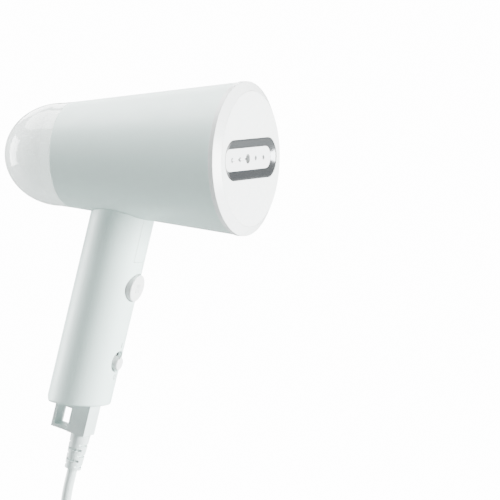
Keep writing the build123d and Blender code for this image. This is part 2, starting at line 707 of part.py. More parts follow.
with BuildPart() as boiler_gasket:
    with BuildSketch(across(BASE_FACE)):
        RectangleRounded(BOILER_WIDTH, BOILER_HEIGHT, BOILER_CORNER / 2)
        RectangleRounded(CHAMBER_WIDTH, CHAMBER_HEIGHT, BOILER_CORNER, mode=Mode.SUBTRACT)
        with Locations(*boiler_corners):
            Circle(SCREW_R + FIT, mode=Mode.SUBTRACT)
    extrude(amount=GASKET)
boiler_gasket.part.label = "boiler_gasket"
export_step(boiler_gasket.part, "parts/boiler_gasket.step")

ELEMENT_X = BASE_BACK + ELEMENT_R + 1.5
ELEMENT_TOP = BARREL_Z + 3
ELEMENT_LOW = BARREL_Z - BOILER_HEIGHT / 2 - ELEMENT_TAIL


def element_bar(radius):
    """Bent bar along the heating element's hairpin."""
    with BuildPart() as bar:
        with BuildLine(across(ELEMENT_X, 0)) as path:
            Line((-ELEMENT_BEND, ELEMENT_LOW), (-ELEMENT_BEND, ELEMENT_TOP))
            ThreePointArc(
                (-ELEMENT_BEND, ELEMENT_TOP), (0, ELEMENT_TOP + ELEMENT_BEND), (ELEMENT_BEND, ELEMENT_TOP)
            )
            Line((ELEMENT_BEND, ELEMENT_TOP), (ELEMENT_BEND, ELEMENT_LOW))
        with BuildSketch(Plane(origin=path.line @ 0, z_dir=path.line % 0)):
            Circle(radius)
        sweep(path=path.line)
    return bar.part


with BuildPart() as heating_element:
    add(element_bar(ELEMENT_R))
    with BuildSketch(Plane.XY.offset(ELEMENT_LOW)):
        with Locations((ELEMENT_X, ELEMENT_BEND), (ELEMENT_X, -ELEMENT_BEND)):
            Rectangle(0.8, 4.8)
    extrude(amount=-3)
heating_element.part.label = "heating_element"
export_step(heating_element.part, "parts/heating_element.step")

with BuildPart() as boiler_base:
    with BuildSketch(across(BASE_FACE)):
        RectangleRounded(BOILER_WIDTH, BOILER_HEIGHT, BOILER_CORNER / 2)
    extrude(amount=-BASE_THICK)
    with BuildSketch(across(BASE_FACE)):
        RectangleRounded(CHAMBER_WIDTH, CHAMBER_HEIGHT, BOILER_CORNER)
        with Locations((0, 0), (0, 10)):
            Rectangle(CHAMBER_WIDTH - 14, 2, mode=Mode.SUBTRACT)
    extrude(amount=-CHAMBER_DEPTH, mode=Mode.SUBTRACT)
    with BuildSketch(across(BASE_BACK)):
        with Locations((0, -DOCK_DROP)):
            Circle(INLET_R)
    extrude(amount=-INLET_LENGTH)
    with BuildSketch(across(BASE_BACK - INLET_LENGTH)):
        with Locations((0, -DOCK_DROP)):
            Circle(INLET_BORE)
    extrude(amount=INLET_LENGTH + BASE_THICK, mode=Mode.SUBTRACT)
    with BuildSketch(across(BASE_BACK)):
        with Locations(*boiler_corners):
            Circle(SCREW_R + TIGHT)
    extrude(amount=BASE_THICK, mode=Mode.SUBTRACT)
    add(element_bar(ELEMENT_R + TIGHT), mode=Mode.SUBTRACT)
boiler_base.part.label = "boiler_base"
export_step(boiler_base.part, "parts/boiler_base.step")

BRACKET_R = barrel_r(LEDGE_FACE) - BARREL_WALL - 0.3
ledge_places = [
    (LEDGE_SCREW_R * math.cos(k * math.pi / 2), LEDGE_SCREW_R * math.sin(k * math.pi / 2)) for k in range(4)
]
with BuildPart() as boiler_bracket:
    with BuildSketch(across(LEDGE_FACE)):
        Circle(BRACKET_R)
        RectangleRounded(BRACKET_WINDOW_WIDTH, BRACKET_WINDOW_HEIGHT, 4, mode=Mode.SUBTRACT)
        with Locations(*ledge_places):
            Circle(SCREW_R + FIT, mode=Mode.SUBTRACT)
        with Locations(*boiler_corners):
            Circle(SCREW_R + FIT, mode=Mode.SUBTRACT)
        with Locations((ELEMENT_BEND, -LEAD_DROP), (-ELEMENT_BEND, -LEAD_DROP)):
            Circle(LEAD_HOLE_R, mode=Mode.SUBTRACT)
    extrude(amount=BRACKET_THICK)
boiler_bracket.part.label = "boiler_bracket"
export_step(boiler_bracket.part, "parts/boiler_bracket.step")

with BuildPart() as boiler_screws:
    add(
        screws(
            across(LEDGE_FACE),
            boiler_corners,
            BRACKET_THICK + BASE_THICK + GASKET + COVER_THICK - 2,
        )
    )
boiler_screws.part.label = "boiler_screws"
export_step(boiler_screws.part, "parts/boiler_screws.step")

with BuildPart() as bracket_screws:
    with BuildSketch(across(BASE_BACK)):
        with Locations(*ledge_places):
            Circle(SCREW_R)
    extrude(amount=-(BRACKET_THICK + LEDGE_THICK - 0.5))
    with BuildSketch(across(BASE_BACK)):
        with Locations(*ledge_places):
            Circle(HEAD_R)
    extrude(amount=HEAD_THICK)
bracket_screws.part.label = "bracket_screws"
export_step(bracket_screws.part, "parts/bracket_screws.step")

with BuildPart() as thermostat:
    with BuildSketch(across(BASE_BACK)):
        with Locations((0, 5)):
            Circle(THERMOSTAT_R)
    extrude(amount=-THERMOSTAT_THICK)
    with BuildSketch(across(BASE_BACK - THERMOSTAT_THICK)):
        with Locations((4, 5), (-4, 5)):
            Rectangle(0.8, 5)
    extrude(amount=-6)
thermostat.part.label = "thermostat"
export_step(thermostat.part, "parts/thermostat.step")

with BuildPart() as thermal_fuse:
    with BuildSketch(across(BASE_BACK)):
        with Locations((13, -2)):
            Rectangle(2 * FUSE_R, FUSE_LENGTH)
    extrude(amount=-2 * FUSE_R)
    fillet(thermal_fuse.edges().filter_by(Axis.Z).sort_by(Axis.X)[:2], radius=FUSE_R - 0.2)
thermal_fuse.part.label = "thermal_fuse"
export_step(thermal_fuse.part, "parts/thermal_fuse.step")

# ================================================================ water side
with BuildPart() as tank_dock:
    revolve(
        outline(
            [
                (SEAM_X, DOCK_BORE),
                (SEAM_X, DOCK_R),
                (BULKHEAD_FACE, DOCK_R),
                (BULKHEAD_FACE, DOCK_R + DOCK_FLANGE),
                (BULKHEAD_FACE + 2, DOCK_R + DOCK_FLANGE),
                (BULKHEAD_FACE + 2, DOCK_R),
                (DOCK_FLOOR_X + DOCK_FLOOR, DOCK_R),
                (DOCK_FLOOR_X + DOCK_FLOOR, INLET_R),
                (DOCK_END, INLET_R),
                (DOCK_END, INLET_BORE),
                (NECK_END - 1.7 + 0.1, INLET_BORE - 0.5),
                (NECK_END - 1.7 + 0.1, PROBE_R),
                (DOCK_FLOOR_X, PROBE_R),
                (DOCK_FLOOR_X, DOCK_BORE),
            ],
            DOCK_Z,
        ),
        axis=DOCK_AXIS,
    )
tank_dock.part.label = "tank_dock"
export_step(tank_dock.part, "parts/tank_dock.step")

NECK_R = DOCK_BORE - FIT
SEAL_X = NECK_END - 3.5
plate_back = TANK_FACE - TANK_PLATE
cone_end = TANK_FACE - TANK_CONE
dome_r = BARREL_REAR_R - TANK_CONE_DROP
shell_r = BARREL_REAR_R - TANK_WALL - TIGHT
skirt_r = dome_r - TANK_WALL - TIGHT
with BuildPart() as tank_front_wall:
    revolve(
        outline(
            [
                (plate_back, 0),
                (plate_back, skirt_r - TANK_SKIRT),
                (cone_end, skirt_r - TANK_SKIRT),
                (cone_end, skirt_r),
                (TANK_FACE, shell_r),
                (TANK_FACE, 0),
            ]
        ),
        axis=BARREL_AXIS,
    )
    revolve(tube_outline(TANK_FACE, NECK_END, NECK_R, NECK_BORE, DOCK_Z), axis=DOCK_AXIS)
    revolve(
        tube_outline(TANK_FACE - 0.5, TANK_FACE + 0.5, NECK_R, VALVE_SEAT_R, DOCK_Z), axis=DOCK_AXIS
    )
    revolve(
        tube_outline(SEAL_X, SEAL_X + SEAL_WIDTH, NECK_R + 1, NECK_R - 1.2, DOCK_Z),
        axis=DOCK_AXIS,
        mode=Mode.SUBTRACT,
    )
    revolve(
        outline([(plate_back, 0), (plate_back, VALVE_SEAT_R), (NECK_END, VALVE_SEAT_R), (NECK_END, 0)], DOCK_Z),
        axis=DOCK_AXIS,
        mode=Mode.SUBTRACT,
    )
    with BuildSketch(across(TANK_FACE)):
        with Locations((0, FILLER_RISE)):
            Circle(FILLER_R)
    extrude(amount=-TANK_PLATE, mode=Mode.SUBTRACT)
    with BuildSketch(across(TANK_FACE)):
        with Locations((0, FILLER_RISE)):
            Circle(FILLER_FLANGE_R + FIT)
    extrude(amount=-FILLER_FLANGE, mode=Mode.SUBTRACT)
    with BuildSketch(across(TANK_FACE)):
        with Locations((PRONG_Y, 0), (-PRONG_Y, 0)):
            Rectangle(PRONG_WIDTH, PRONG_HEIGHT)
    extrude(amount=PRONG_LENGTH)
tank_front_wall.part.label = "tank_front_wall"
export_step(tank_front_wall.part, "parts/tank_front_wall.step")


def tank_section(shrink, face_x):
    """Half section of the tank: a short cone and a half ellipse, smaller by shrink all round."""
    with BuildSketch(Plane.XZ) as section:
        with BuildLine():
            Polyline(
                (cone_end, BARREL_Z),
                (face_x, BARREL_Z),
                (face_x, BARREL_Z + BARREL_REAR_R - shrink),
                (cone_end, BARREL_Z + dome_r - shrink),
            )
            EllipticalCenterArc(
                (cone_end, BARREL_Z),
                TANK_DOME - shrink,
                dome_r - shrink,
                start_angle=90,
                arc_size=90,
            )
            Line((cone_end - TANK_DOME + shrink, BARREL_Z), (cone_end, BARREL_Z))
        make_face()
    return section.sketch


with BuildPart() as tank_shell:
    revolve(tank_section(0, TANK_FACE), axis=BARREL_AXIS)
    revolve(tank_section(TANK_WALL, TANK_FACE), axis=BARREL_AXIS, mode=Mode.SUBTRACT)
tank_shell.part.label = "tank_shell"
export_step(tank_shell.part, "parts/tank_shell.step")

with BuildPart() as filler_stopper:
    with BuildSketch(across(TANK_FACE)):
        with Locations((0, FILLER_RISE)):
            Circle(FILLER_FLANGE_R)
    extrude(amount=-FILLER_FLANGE)
    with BuildSketch(across(TANK_FACE - FILLER_FLANGE)):
        with Locations((0, FILLER_RISE)):
            Circle(FILLER_R - TIGHT)
    extrude(amount=-4)
filler_stopper.part.label = "filler_stopper"
export_step(filler_stopper.part, "parts/filler_stopper.step")

with BuildPart() as neck_seal:
    revolve(
        tube_outline(
            SEAL_X + TIGHT, SEAL_X + SEAL_WIDTH - TIGHT, DOCK_BORE - TIGHT, NECK_R - 1.2 + TIGHT, DOCK_Z
        ),
        axis=DOCK_AXIS,
    )
neck_seal.part.label = "neck_seal"
export_step(neck_seal.part, "parts/neck_seal.step")

stem_face = NECK_END - 1.7
head_back = stem_face - 1.5
washer_face = plate_back - VALVE_TRAVEL - FIT
with BuildPart() as tank_valve_stem:
    revolve(
        outline(
            [
                (stem_face, 0),
                (stem_face, VALVE_HEAD_R),
                (head_back, VALVE_HEAD_R),
                (head_back, VALVE_STEM_R),
                (washer_face - WASHER, VALVE_STEM_R),
                (washer_face - WASHER, VALVE_DISC_R),
                (washer_face - WASHER - 1.5, VALVE_DISC_R),
                (washer_face - WASHER - 1.5, 0),
            ],
            DOCK_Z,
        ),
        axis=DOCK_AXIS,
    )
tank_valve_stem.part.label = "tank_valve_stem"
export_step(tank_valve_stem.part, "parts/tank_valve_stem.step")

with BuildPart() as tank_valve_seal:
    revolve(
        tube_outline(washer_face - WASHER, washer_face, VALVE_SEAL_R, VALVE_STEM_R + TIGHT, DOCK_Z),
        axis=DOCK_AXIS,
    )
tank_valve_seal.part.label = "tank_valve_seal"
export_step(tank_valve_seal.part, "parts/tank_valve_seal.step")


def coil_spring(plane, length, radius, turns, wire):
    """Round-wire helical spring that stands on the plane."""
    span = length - 2 * wire
    with BuildPart() as spring:
        with BuildLine() as path:
            Helix(span / turns, span, radius, center=plane.origin, direction=plane.z_dir)
        with BuildSketch(Plane(origin=path.line @ 0, z_dir=path.line % 0)):
            Circle(wire)
        sweep(path=path.line, is_frenet=True)
    return spring.part


with BuildPart() as tank_valve_spring:
    seat = TANK_FACE + 0.5
    add(coil_spring(across(seat + 0.4, DOCK_Z), head_back - seat - 0.2, 2.9, 3, 0.25))
tank_valve_spring.part.label = "tank_valve_spring"
export_step(tank_valve_spring.part, "parts/tank_valve_spring.step")

# pump: inlet at its rear end, outlet at its front end, on the dock's axis
with BuildPart() as pump_body:
    revolve(
        outline(
            [
                (PUMP_X - PUMP_NIPPLE, INLET_BORE),
                (PUMP_X - PUMP_NIPPLE, INLET_R),
                (PUMP_X, INLET_R),
                (PUMP_X, PUMP_TUBE_R),
                (PUMP_X + PUMP_LENGTH, PUMP_TUBE_R),
                (PUMP_X + PUMP_LENGTH, INLET_R),
                (PUMP_X + PUMP_LENGTH + PUMP_NIPPLE, INLET_R),
                (PUMP_X + PUMP_LENGTH + PUMP_NIPPLE, INLET_BORE),
                (PUMP_X + PUMP_LENGTH - PUMP_END, INLET_BORE),
                (PUMP_X + PUMP_LENGTH - PUMP_END, PUMP_BORE),
                (PUMP_X + PUMP_END, PUMP_BORE),
                (PUMP_X + PUMP_END, INLET_BORE),
            ],
            DOCK_Z,
        ),
        axis=DOCK_AXIS,
    )
pump_body.part.label = "pump_body"
export_step(pump_body.part, "parts/pump_body.step")

coil_x = PUMP_X + (PUMP_LENGTH - COIL_LENGTH) / 2
with BuildPart() as pump_coil:
    revolve(
        outline(
            [
                (coil_x, PUMP_TUBE_R + TIGHT),
                (coil_x, COIL_R),
                (coil_x + 1.5, COIL_R),
                (coil_x + 1.5, COIL_R - 1.2),
                (coil_x + COIL_LENGTH - 1.5, COIL_R - 1.2),
                (coil_x + COIL_LENGTH - 1.5, COIL_R),
                (coil_x + COIL_LENGTH, COIL_R),
                (coil_x + COIL_LENGTH, PUMP_TUBE_R + TIGHT),
            ],
            DOCK_Z,
        ),
        axis=DOCK_AXIS,
    )
pump_coil.part.label = "pump_coil"
export_step(pump_coil.part, "parts/pump_coil.step")

YOKE_LOW = DOCK_Z - COIL_R - FIT
YOKE_TOP = DOCK_Z + COIL_R + FIT
with BuildPart() as pump_yoke:
    for x in (coil_x - YOKE_THICK, coil_x + COIL_LENGTH):
        with BuildSketch(across(x, 0)):
            with Locations((0, DOCK_Z)):
                Rectangle(YOKE_WIDTH, YOKE_TOP - YOKE_LOW)
                Circle(PUMP_TUBE_R + TIGHT, mode=Mode.SUBTRACT)
        extrude(amount=YOKE_THICK)
    with BuildSketch(Plane.XY.offset(YOKE_TOP)):
        with Locations((coil_x + COIL_LENGTH / 2, 0)):
            Rectangle(COIL_LENGTH + 2 * YOKE_THICK, 2 * YOKE_EAR_Y)
    extrude(amount=YOKE_THICK)
pump_yoke.part.label = "pump_yoke"
export_step(pump_yoke.part, "parts/pump_yoke.step")

with BuildPart() as pump_pads:
    with BuildSketch(Plane.XY.offset(SHELF_TOP)):
        with GridLocations(COIL_LENGTH - 4, 2 * (SHELF_INNER_Y + 3), 2, 2):
            with Locations((coil_x + COIL_LENGTH / 2, 0)):
                Circle(2.4)
    extrude(amount=YOKE_TOP - SHELF_TOP)
pump_pads.part.label = "pump_pads"
export_step(pump_pads.part, "parts/pump_pads.step")

plunger_x = PUMP_X + PUMP_END + 1
with BuildPart() as pump_plunger:
    revolve(
        tube_outline(plunger_x, plunger_x + PLUNGER_LENGTH, PUMP_BORE - TIGHT, INLET_BORE, DOCK_Z),
        axis=DOCK_AXIS,
    )
pump_plunger.part.label = "pump_plunger"
export_step(pump_plunger.part, "parts/pump_plunger.step")

with BuildPart() as pump_spring:
    spring_x = plunger_x + PLUNGER_LENGTH + 0.45
    spring_end = PUMP_X + PUMP_LENGTH - PUMP_END - 0.45
    add(coil_spring(across(spring_x, DOCK_Z), spring_end - spring_x, 2.8, 4, 0.35))
pump_spring.part.label = "pump_spring"
export_step(pump_spring.part, "parts/pump_spring.step")


def hose(points, radii, outer, inner):
    """Hose or wire along straight runs joined by tangent arcs."""
    with BuildPart() as piece:
        with BuildLine() as path:
            if len(points) > 2:
                FilletPolyline(points, radius=radii)
            else:
                Line(points[0], points[1])
        with BuildSketch(Plane(origin=path.line @ 0, z_dir=path.line % 0)):
            Circle(outer)
            if inner:
                Circle(inner, mode=Mode.SUBTRACT)
        sweep(path=path.line)
    return piece.part


def bend_radii(points):
    """Largest even arc at each corner: 0.45 of the shorter run over the tangent of half the turn."""
    radii = []
    for a, b, c in zip(points, points[1:], points[2:]):
        first = Vector(b) - Vector(a)
        second = Vector(c) - Vector(b)
        turn = math.radians(first.get_angle(second))
        radii.append(0.45 * min(first.length, second.length) / math.tan(turn / 2))
    return radii


HOSE_R = HOSE_BORE + HOSE_WALL
with BuildPart() as tank_inlet_hose:
    add(hose([(DOCK_END - DOCK_NIPPLE + 0.5, 0, DOCK_Z), (PUMP_X - 0.5, 0, DOCK_Z)], [], HOSE_R, HOSE_BORE))
tank_inlet_hose.part.label = "tank_inlet_hose"
export_step(tank_inlet_hose.part, "parts/tank_inlet_hose.step")

with BuildPart() as boiler_inlet_hose:
    add(hose([(PUMP_X + PUMP_LENGTH + 0.5, 0, DOCK_Z), (BASE_BACK - 0.5, 0, DOCK_Z)], [], HOSE_R, HOSE_BORE))
boiler_inlet_hose.part.label = "boiler_inlet_hose"
export_step(boiler_inlet_hose.part, "parts/boiler_inlet_hose.step")

# ================================================================ inside the grip
BOARD_FRONT = CHASSIS_X - BOARD_GAP
BOARD_BACK = BOARD_FRONT - BOARD_THICK
PIVOT_S = BUTTON_S - LEVER_ARM
PIVOT_X = LEVER_TOP - LEVER_THICK / 2
PEDESTAL_TOP = CORD_X - 0.2
CARRIER_LENGTH = 15.0

with BuildPart() as handle_chassis:
    with BuildSketch(GRIP_FRONT.offset(CHASSIS_X)):
        with Locations((0, (CHASSIS_HIGH + CHASSIS_LOW) / 2)):
            RectangleRounded(CHASSIS_WIDTH, CHASSIS_HIGH - CHASSIS_LOW, 3)
    extrude(amount=CHASSIS_THICK)
    with BuildSketch(GRIP_FRONT.offset(CHASSIS_X)):
        for s in (BOARD_LOW + 5, BOARD_HIGH - 5):
            with Locations((BOARD_WIDTH / 2 - 3, s), (3 - BOARD_WIDTH / 2, s)):
                Circle(2)
    extrude(amount=-BOARD_GAP)
    with BuildSketch(GRIP_FRONT.offset(CHASSIS_FRONT)):
        with Locations((0, GRIP_SCREW_S)):
            Circle(POST_R)
    extrude(amount=5)
    with BuildSketch(GRIP_FRONT.offset(CHASSIS_FRONT)):
        leg_y = CARRIER_HALF_Y - CARRIER_LEG / 2
        with Locations((leg_y, BUTTON_S), (-leg_y, BUTTON_S)):
            Rectangle(CARRIER_LEG, CARRIER_LENGTH)
    extrude(amount=CARRIER_TOP - CHASSIS_FRONT)
    with BuildSketch(GRIP_FRONT.offset(CARRIER_TOP)):
        with Locations((0, BUTTON_S)):
            Rectangle(2 * CARRIER_HALF_Y, CARRIER_LENGTH)
            Circle(CARRIER_HOLE_R, mode=Mode.SUBTRACT)
    extrude(amount=-CARRIER_THICK)
    with BuildSketch(GRIP_FRONT.offset(CHASSIS_FRONT)):
        with Locations((0, CLAMP_S)):
            Rectangle(2 * CLAMP_HALF_Y, CLAMP_LENGTH)
    extrude(amount=PEDESTAL_TOP - CHASSIS_FRONT)
    with BuildSketch(GRIP.offset(CLAMP_S - CLAMP_LENGTH)):
        with Locations((CORD_X, 0)):
            Circle(CORD_R + TIGHT)
    extrude(amount=2 * CLAMP_LENGTH, mode=Mode.SUBTRACT)
    with BuildSketch(GRIP_FRONT.offset(PEDESTAL_TOP)):
        with Locations((CLAMP_SCREW_Y, CLAMP_S), (-CLAMP_SCREW_Y, CLAMP_S)):
            Circle(SCREW_R + TIGHT)
    extrude(amount=-6, mode=Mode.SUBTRACT)
    with BuildSketch(GRIP_FRONT.offset(CHASSIS_X)):
        with Locations((0, GRIP_SCREW_S), (POST_Y, POST_S), (-POST_Y, POST_S)):
            Circle(SCREW_R + TIGHT)
    extrude(amount=CHASSIS_THICK + 4.5, mode=Mode.SUBTRACT)
handle_chassis.part.label = "handle_chassis"
export_step(handle_chassis.part, "parts/handle_chassis.step")

with BuildPart() as chassis_screws:
    add(screws(GRIP_FRONT.offset(CHASSIS_X), [(POST_Y, POST_S), (-POST_Y, POST_S)], CHASSIS_THICK + 6))
chassis_screws.part.label = "chassis_screws"
export_step(chassis_screws.part, "parts/chassis_screws.step")

with BuildPart() as grip_screw:
    add(screws(GRIP_FRONT.offset(CHASSIS_X - 2), [(0, GRIP_SCREW_S)], CHASSIS_THICK + 6))
grip_screw.part.label = "grip_screw"
export_step(grip_screw.part, "parts/grip_screw.step")

with BuildPart() as trigger_switch:
    with BuildSketch(GRIP_FRONT.offset(CHASSIS_FRONT)):
        with Locations((0, PIVOT_S + SWITCH_LENGTH / 2 - 1)):
            Rectangle(SWITCH_WIDTH, SWITCH_LENGTH)
    extrude(amount=SWITCH_TOP - CHASSIS_FRONT)
    ear_y = SWITCH_WIDTH / 2 - 0.4
    with BuildSketch(GRIP_FRONT.offset(SWITCH_TOP)):
        with Locations((ear_y, PIVOT_S + 0.2), (-ear_y, PIVOT_S + 0.2)):
            Rectangle(0.8, 2.4)
    extrude(amount=LEVER_TOP + 0.8 - SWITCH_TOP)
    with BuildSketch(GRIP_FRONT.offset(SWITCH_TOP)):
        with Locations((0, BUTTON_S - 4)):
            Circle(1)
    extrude(amount=SWITCH_NUB)
    with BuildSketch(GRIP_SIDE):
        with Locations((PIVOT_X, PIVOT_S)):
            Circle(PIVOT_R + TIGHT)
    extrude(amount=SWITCH_WIDTH, both=True, mode=Mode.SUBTRACT)
trigger_switch.part.label = "trigger_switch"
export_step(trigger_switch.part, "parts/trigger_switch.step")

with BuildPart() as trigger_lever:
    with BuildSketch(GRIP_SIDE):
        with Locations((PIVOT_X, PIVOT_S + (LEVER_ARM + LEVER_OVERHANG) / 2)):
            Rectangle(LEVER_THICK, LEVER_ARM + LEVER_OVERHANG)
    extrude(amount=LEVER_WIDTH / 2, both=True)
    with BuildSketch(GRIP_SIDE):
        with Locations((PIVOT_X, PIVOT_S)):
            Circle(PIVOT_R)
    extrude(amount=SWITCH_WIDTH / 2, both=True)
trigger_lever.part.label = "trigger_lever"
export_step(trigger_lever.part, "parts/trigger_lever.step")

CAP_FACE = GRIP_A + BUTTON_PROUD
CAP_BACK = BOSS_BACK - 0.2
STEM_TIP = LEVER_TOP + 0.1 + STEM_R
with BuildPart() as steam_button:
    with BuildSketch(GRIP_FRONT.offset(CAP_BACK)):
        with Locations((0, BUTTON_S)):
            Circle(BUTTON_R)
    extrude(amount=CAP_FACE - CAP_BACK)
    fillet(steam_button.faces().sort_by(Axis.X)[-1].edges(), radius=0.8)
    with BuildSketch(GRIP_FRONT.offset(CAP_BACK)):
        with Locations((0, BUTTON_S)):
            Circle(BUTTON_R + BUTTON_FLANGE_REACH)
    extrude(amount=-BUTTON_FLANGE)
    with BuildSketch(GRIP_FRONT.offset(CAP_BACK - BUTTON_FLANGE)):
        with Locations((0, BUTTON_S)):
            Circle(BUTTON_R - BUTTON_WALL)
    extrude(amount=CAP_FACE - BUTTON_ROOF - CAP_BACK + BUTTON_FLANGE, mode=Mode.SUBTRACT)
    with BuildSketch(GRIP_FRONT.offset(STEM_TIP)):
        with Locations((0, BUTTON_S)):
            Circle(STEM_R)
    extrude(amount=CAP_FACE - BUTTON_ROOF / 2 - STEM_TIP)
    with Locations(grip_point(STEM_TIP, BUTTON_S)):
        Sphere(STEM_R)
steam_button.part.label = "steam_button"
export_step(steam_button.part, "parts/steam_button.step")

with BuildPart() as button_spring:
    spring_seat = CARRIER_TOP + SPRING_WIRE_R + TIGHT
    spring_plane = Plane(origin=grip_point(spring_seat, BUTTON_S), x_dir=(0, 1, 0), z_dir=FORWARD)
    spring_span = CAP_FACE - BUTTON_ROOF - CARRIER_TOP - 2 * TIGHT
    add(coil_spring(spring_plane, spring_span, BUTTON_SPRING_R, 5, SPRING_WIRE_R))
button_spring.part.label = "button_spring"
export_step(button_spring.part, "parts/button_spring.step")

with BuildPart() as power_switch_knob:
    with BuildSketch(GRIP_FRONT.offset(KNOB_PLATE_X)):
        with Locations((0, KNOB_S)):
            RectangleRounded(KNOB_PLATE_WIDTH, KNOB_PLATE_LENGTH, 2)
    extrude(amount=KNOB_PLATE_THICK)
    with BuildSketch(GRIP_FRONT.offset(KNOB_PLATE_X)):
        with Locations((0, KNOB_S)):
            Circle(KNOB_R)
    extrude(amount=GRIP_A + KNOB_PROUD - KNOB_PLATE_X)
    fillet(power_switch_knob.faces().sort_by(Axis.X)[-1].edges(), radius=0.8)
    with BuildSketch(GRIP_FRONT.offset(KNOB_PLATE_X)):
        with Locations((0, KNOB_S)):
            Rectangle(PEG_WIDTH, PEG_WIDTH + 1)
    extrude(amount=POWER_BODY_TOP - PEG_DEPTH - KNOB_PLATE_X)
power_switch_knob.part.label = "power_switch_knob"
export_step(power_switch_knob.part, "parts/power_switch_knob.step")

with BuildPart() as power_switch_body:
    with BuildSketch(GRIP_FRONT.offset(CHASSIS_FRONT)):
        with Locations((0, KNOB_S + KNOB_TRAVEL / 2)):
            Rectangle(POWER_BODY_WIDTH, POWER_BODY_LENGTH)
    extrude(amount=POWER_BODY_TOP - CHASSIS_FRONT)
    with BuildSketch(GRIP_FRONT.offset(POWER_BODY_TOP)):
        with Locations((0, KNOB_S + KNOB_TRAVEL / 2)):
            Rectangle(PEG_WIDTH + 0.6, PEG_WIDTH + 1 + KNOB_TRAVEL + 0.8)
    extrude(amount=-(PEG_DEPTH + 0.4), mode=Mode.SUBTRACT)
power_switch_body.part.label = "power_switch_body"
export_step(power_switch_body.part, "parts/power_switch_body.step")

with BuildPart() as control_board:
    with BuildSketch(GRIP_FRONT.offset(BOARD_FRONT)):
        with Locations((0, (BOARD_LOW + BOARD_HIGH) / 2)):
            Rectangle(BOARD_WIDTH, BOARD_HIGH - BOARD_LOW)
    extrude(amount=-BOARD_THICK)
control_board.part.label = "control_board"
export_step(control_board.part, "parts/control_board.step")

# capacitor, relay, transformer and power semiconductor: place along the board, width, length, height
COMPONENTS = [(-25.0, 12.0, 15.0, 4.6), (-7.0, 13.0, 10.0, 4.0), (7.0, 9.0, 9.0, 3.0), (20.0, 10.0, 12.0, 4.4)]
with BuildPart() as board_components:
    for s, width, length, height in COMPONENTS:
        with BuildSketch(GRIP_FRONT.offset(BOARD_BACK)):
            with Locations((0, s)):
                Rectangle(width, length)
        extrude(amount=-height)
board_components.part.label = "board_components"
export_step(board_components.part, "parts/board_components.step")

with BuildPart() as terminal_block:
    with BuildSketch(GRIP_FRONT.offset(CHASSIS_FRONT)):
        with Locations((0, (TERMINAL_LOW + TERMINAL_HIGH) / 2)):
            Rectangle(TERMINAL_WIDTH, TERMINAL_HIGH - TERMINAL_LOW)
    extrude(amount=TERMINAL_TOP - CHASSIS_FRONT)
    with BuildSketch(GRIP_FRONT.offset(TERMINAL_TOP)):
        for s in (TERMINAL_LOW + 4, TERMINAL_HIGH - 4):
            with Locations((5, s), (-5, s)):
                Circle(2)
    extrude(amount=-2, mode=Mode.SUBTRACT)
terminal_block.part.label = "terminal_block"
export_step(terminal_block.part, "parts/terminal_block.step")

# ================================================================ cord entry
with BuildPart() as cord_clamp:
    with BuildSketch(GRIP_FRONT.offset(CORD_X + 0.2)):
        with Locations((0, CLAMP_S)):
            Rectangle(2 * CLAMP_HALF_Y, CLAMP_LENGTH)
    extrude(amount=CLAMP_TOP - CORD_X - 0.2)
    with BuildSketch(GRIP.offset(CLAMP_S - CLAMP_LENGTH)):
        with Locations((CORD_X, 0)):
            Circle(CORD_R + TIGHT)
    extrude(amount=2 * CLAMP_LENGTH, mode=Mode.SUBTRACT)
    with BuildSketch(GRIP_FRONT.offset(CLAMP_TOP)):
        with Locations((CLAMP_SCREW_Y, CLAMP_S), (-CLAMP_SCREW_Y, CLAMP_S)):
            Circle(SCREW_R + TIGHT)
    extrude(amount=-CLAMP_TOP, mode=Mode.SUBTRACT)
cord_clamp.part.label = "cord_clamp"
export_step(cord_clamp.part, "parts/cord_clamp.step")

with BuildPart() as clamp_screws:
    clamp_plane = Plane(
        origin=grip_point(CLAMP_TOP, CLAMP_S), x_dir=(0, 1, 0), z_dir=(-FORWARD[0], 0, -FORWARD[2])
    )
    add(screws(clamp_plane, [(CLAMP_SCREW_Y, 0), (-CLAMP_SCREW_Y, 0)], 9))
clamp_screws.part.label = "clamp_screws"
export_step(clamp_screws.part, "parts/clamp_screws.step")

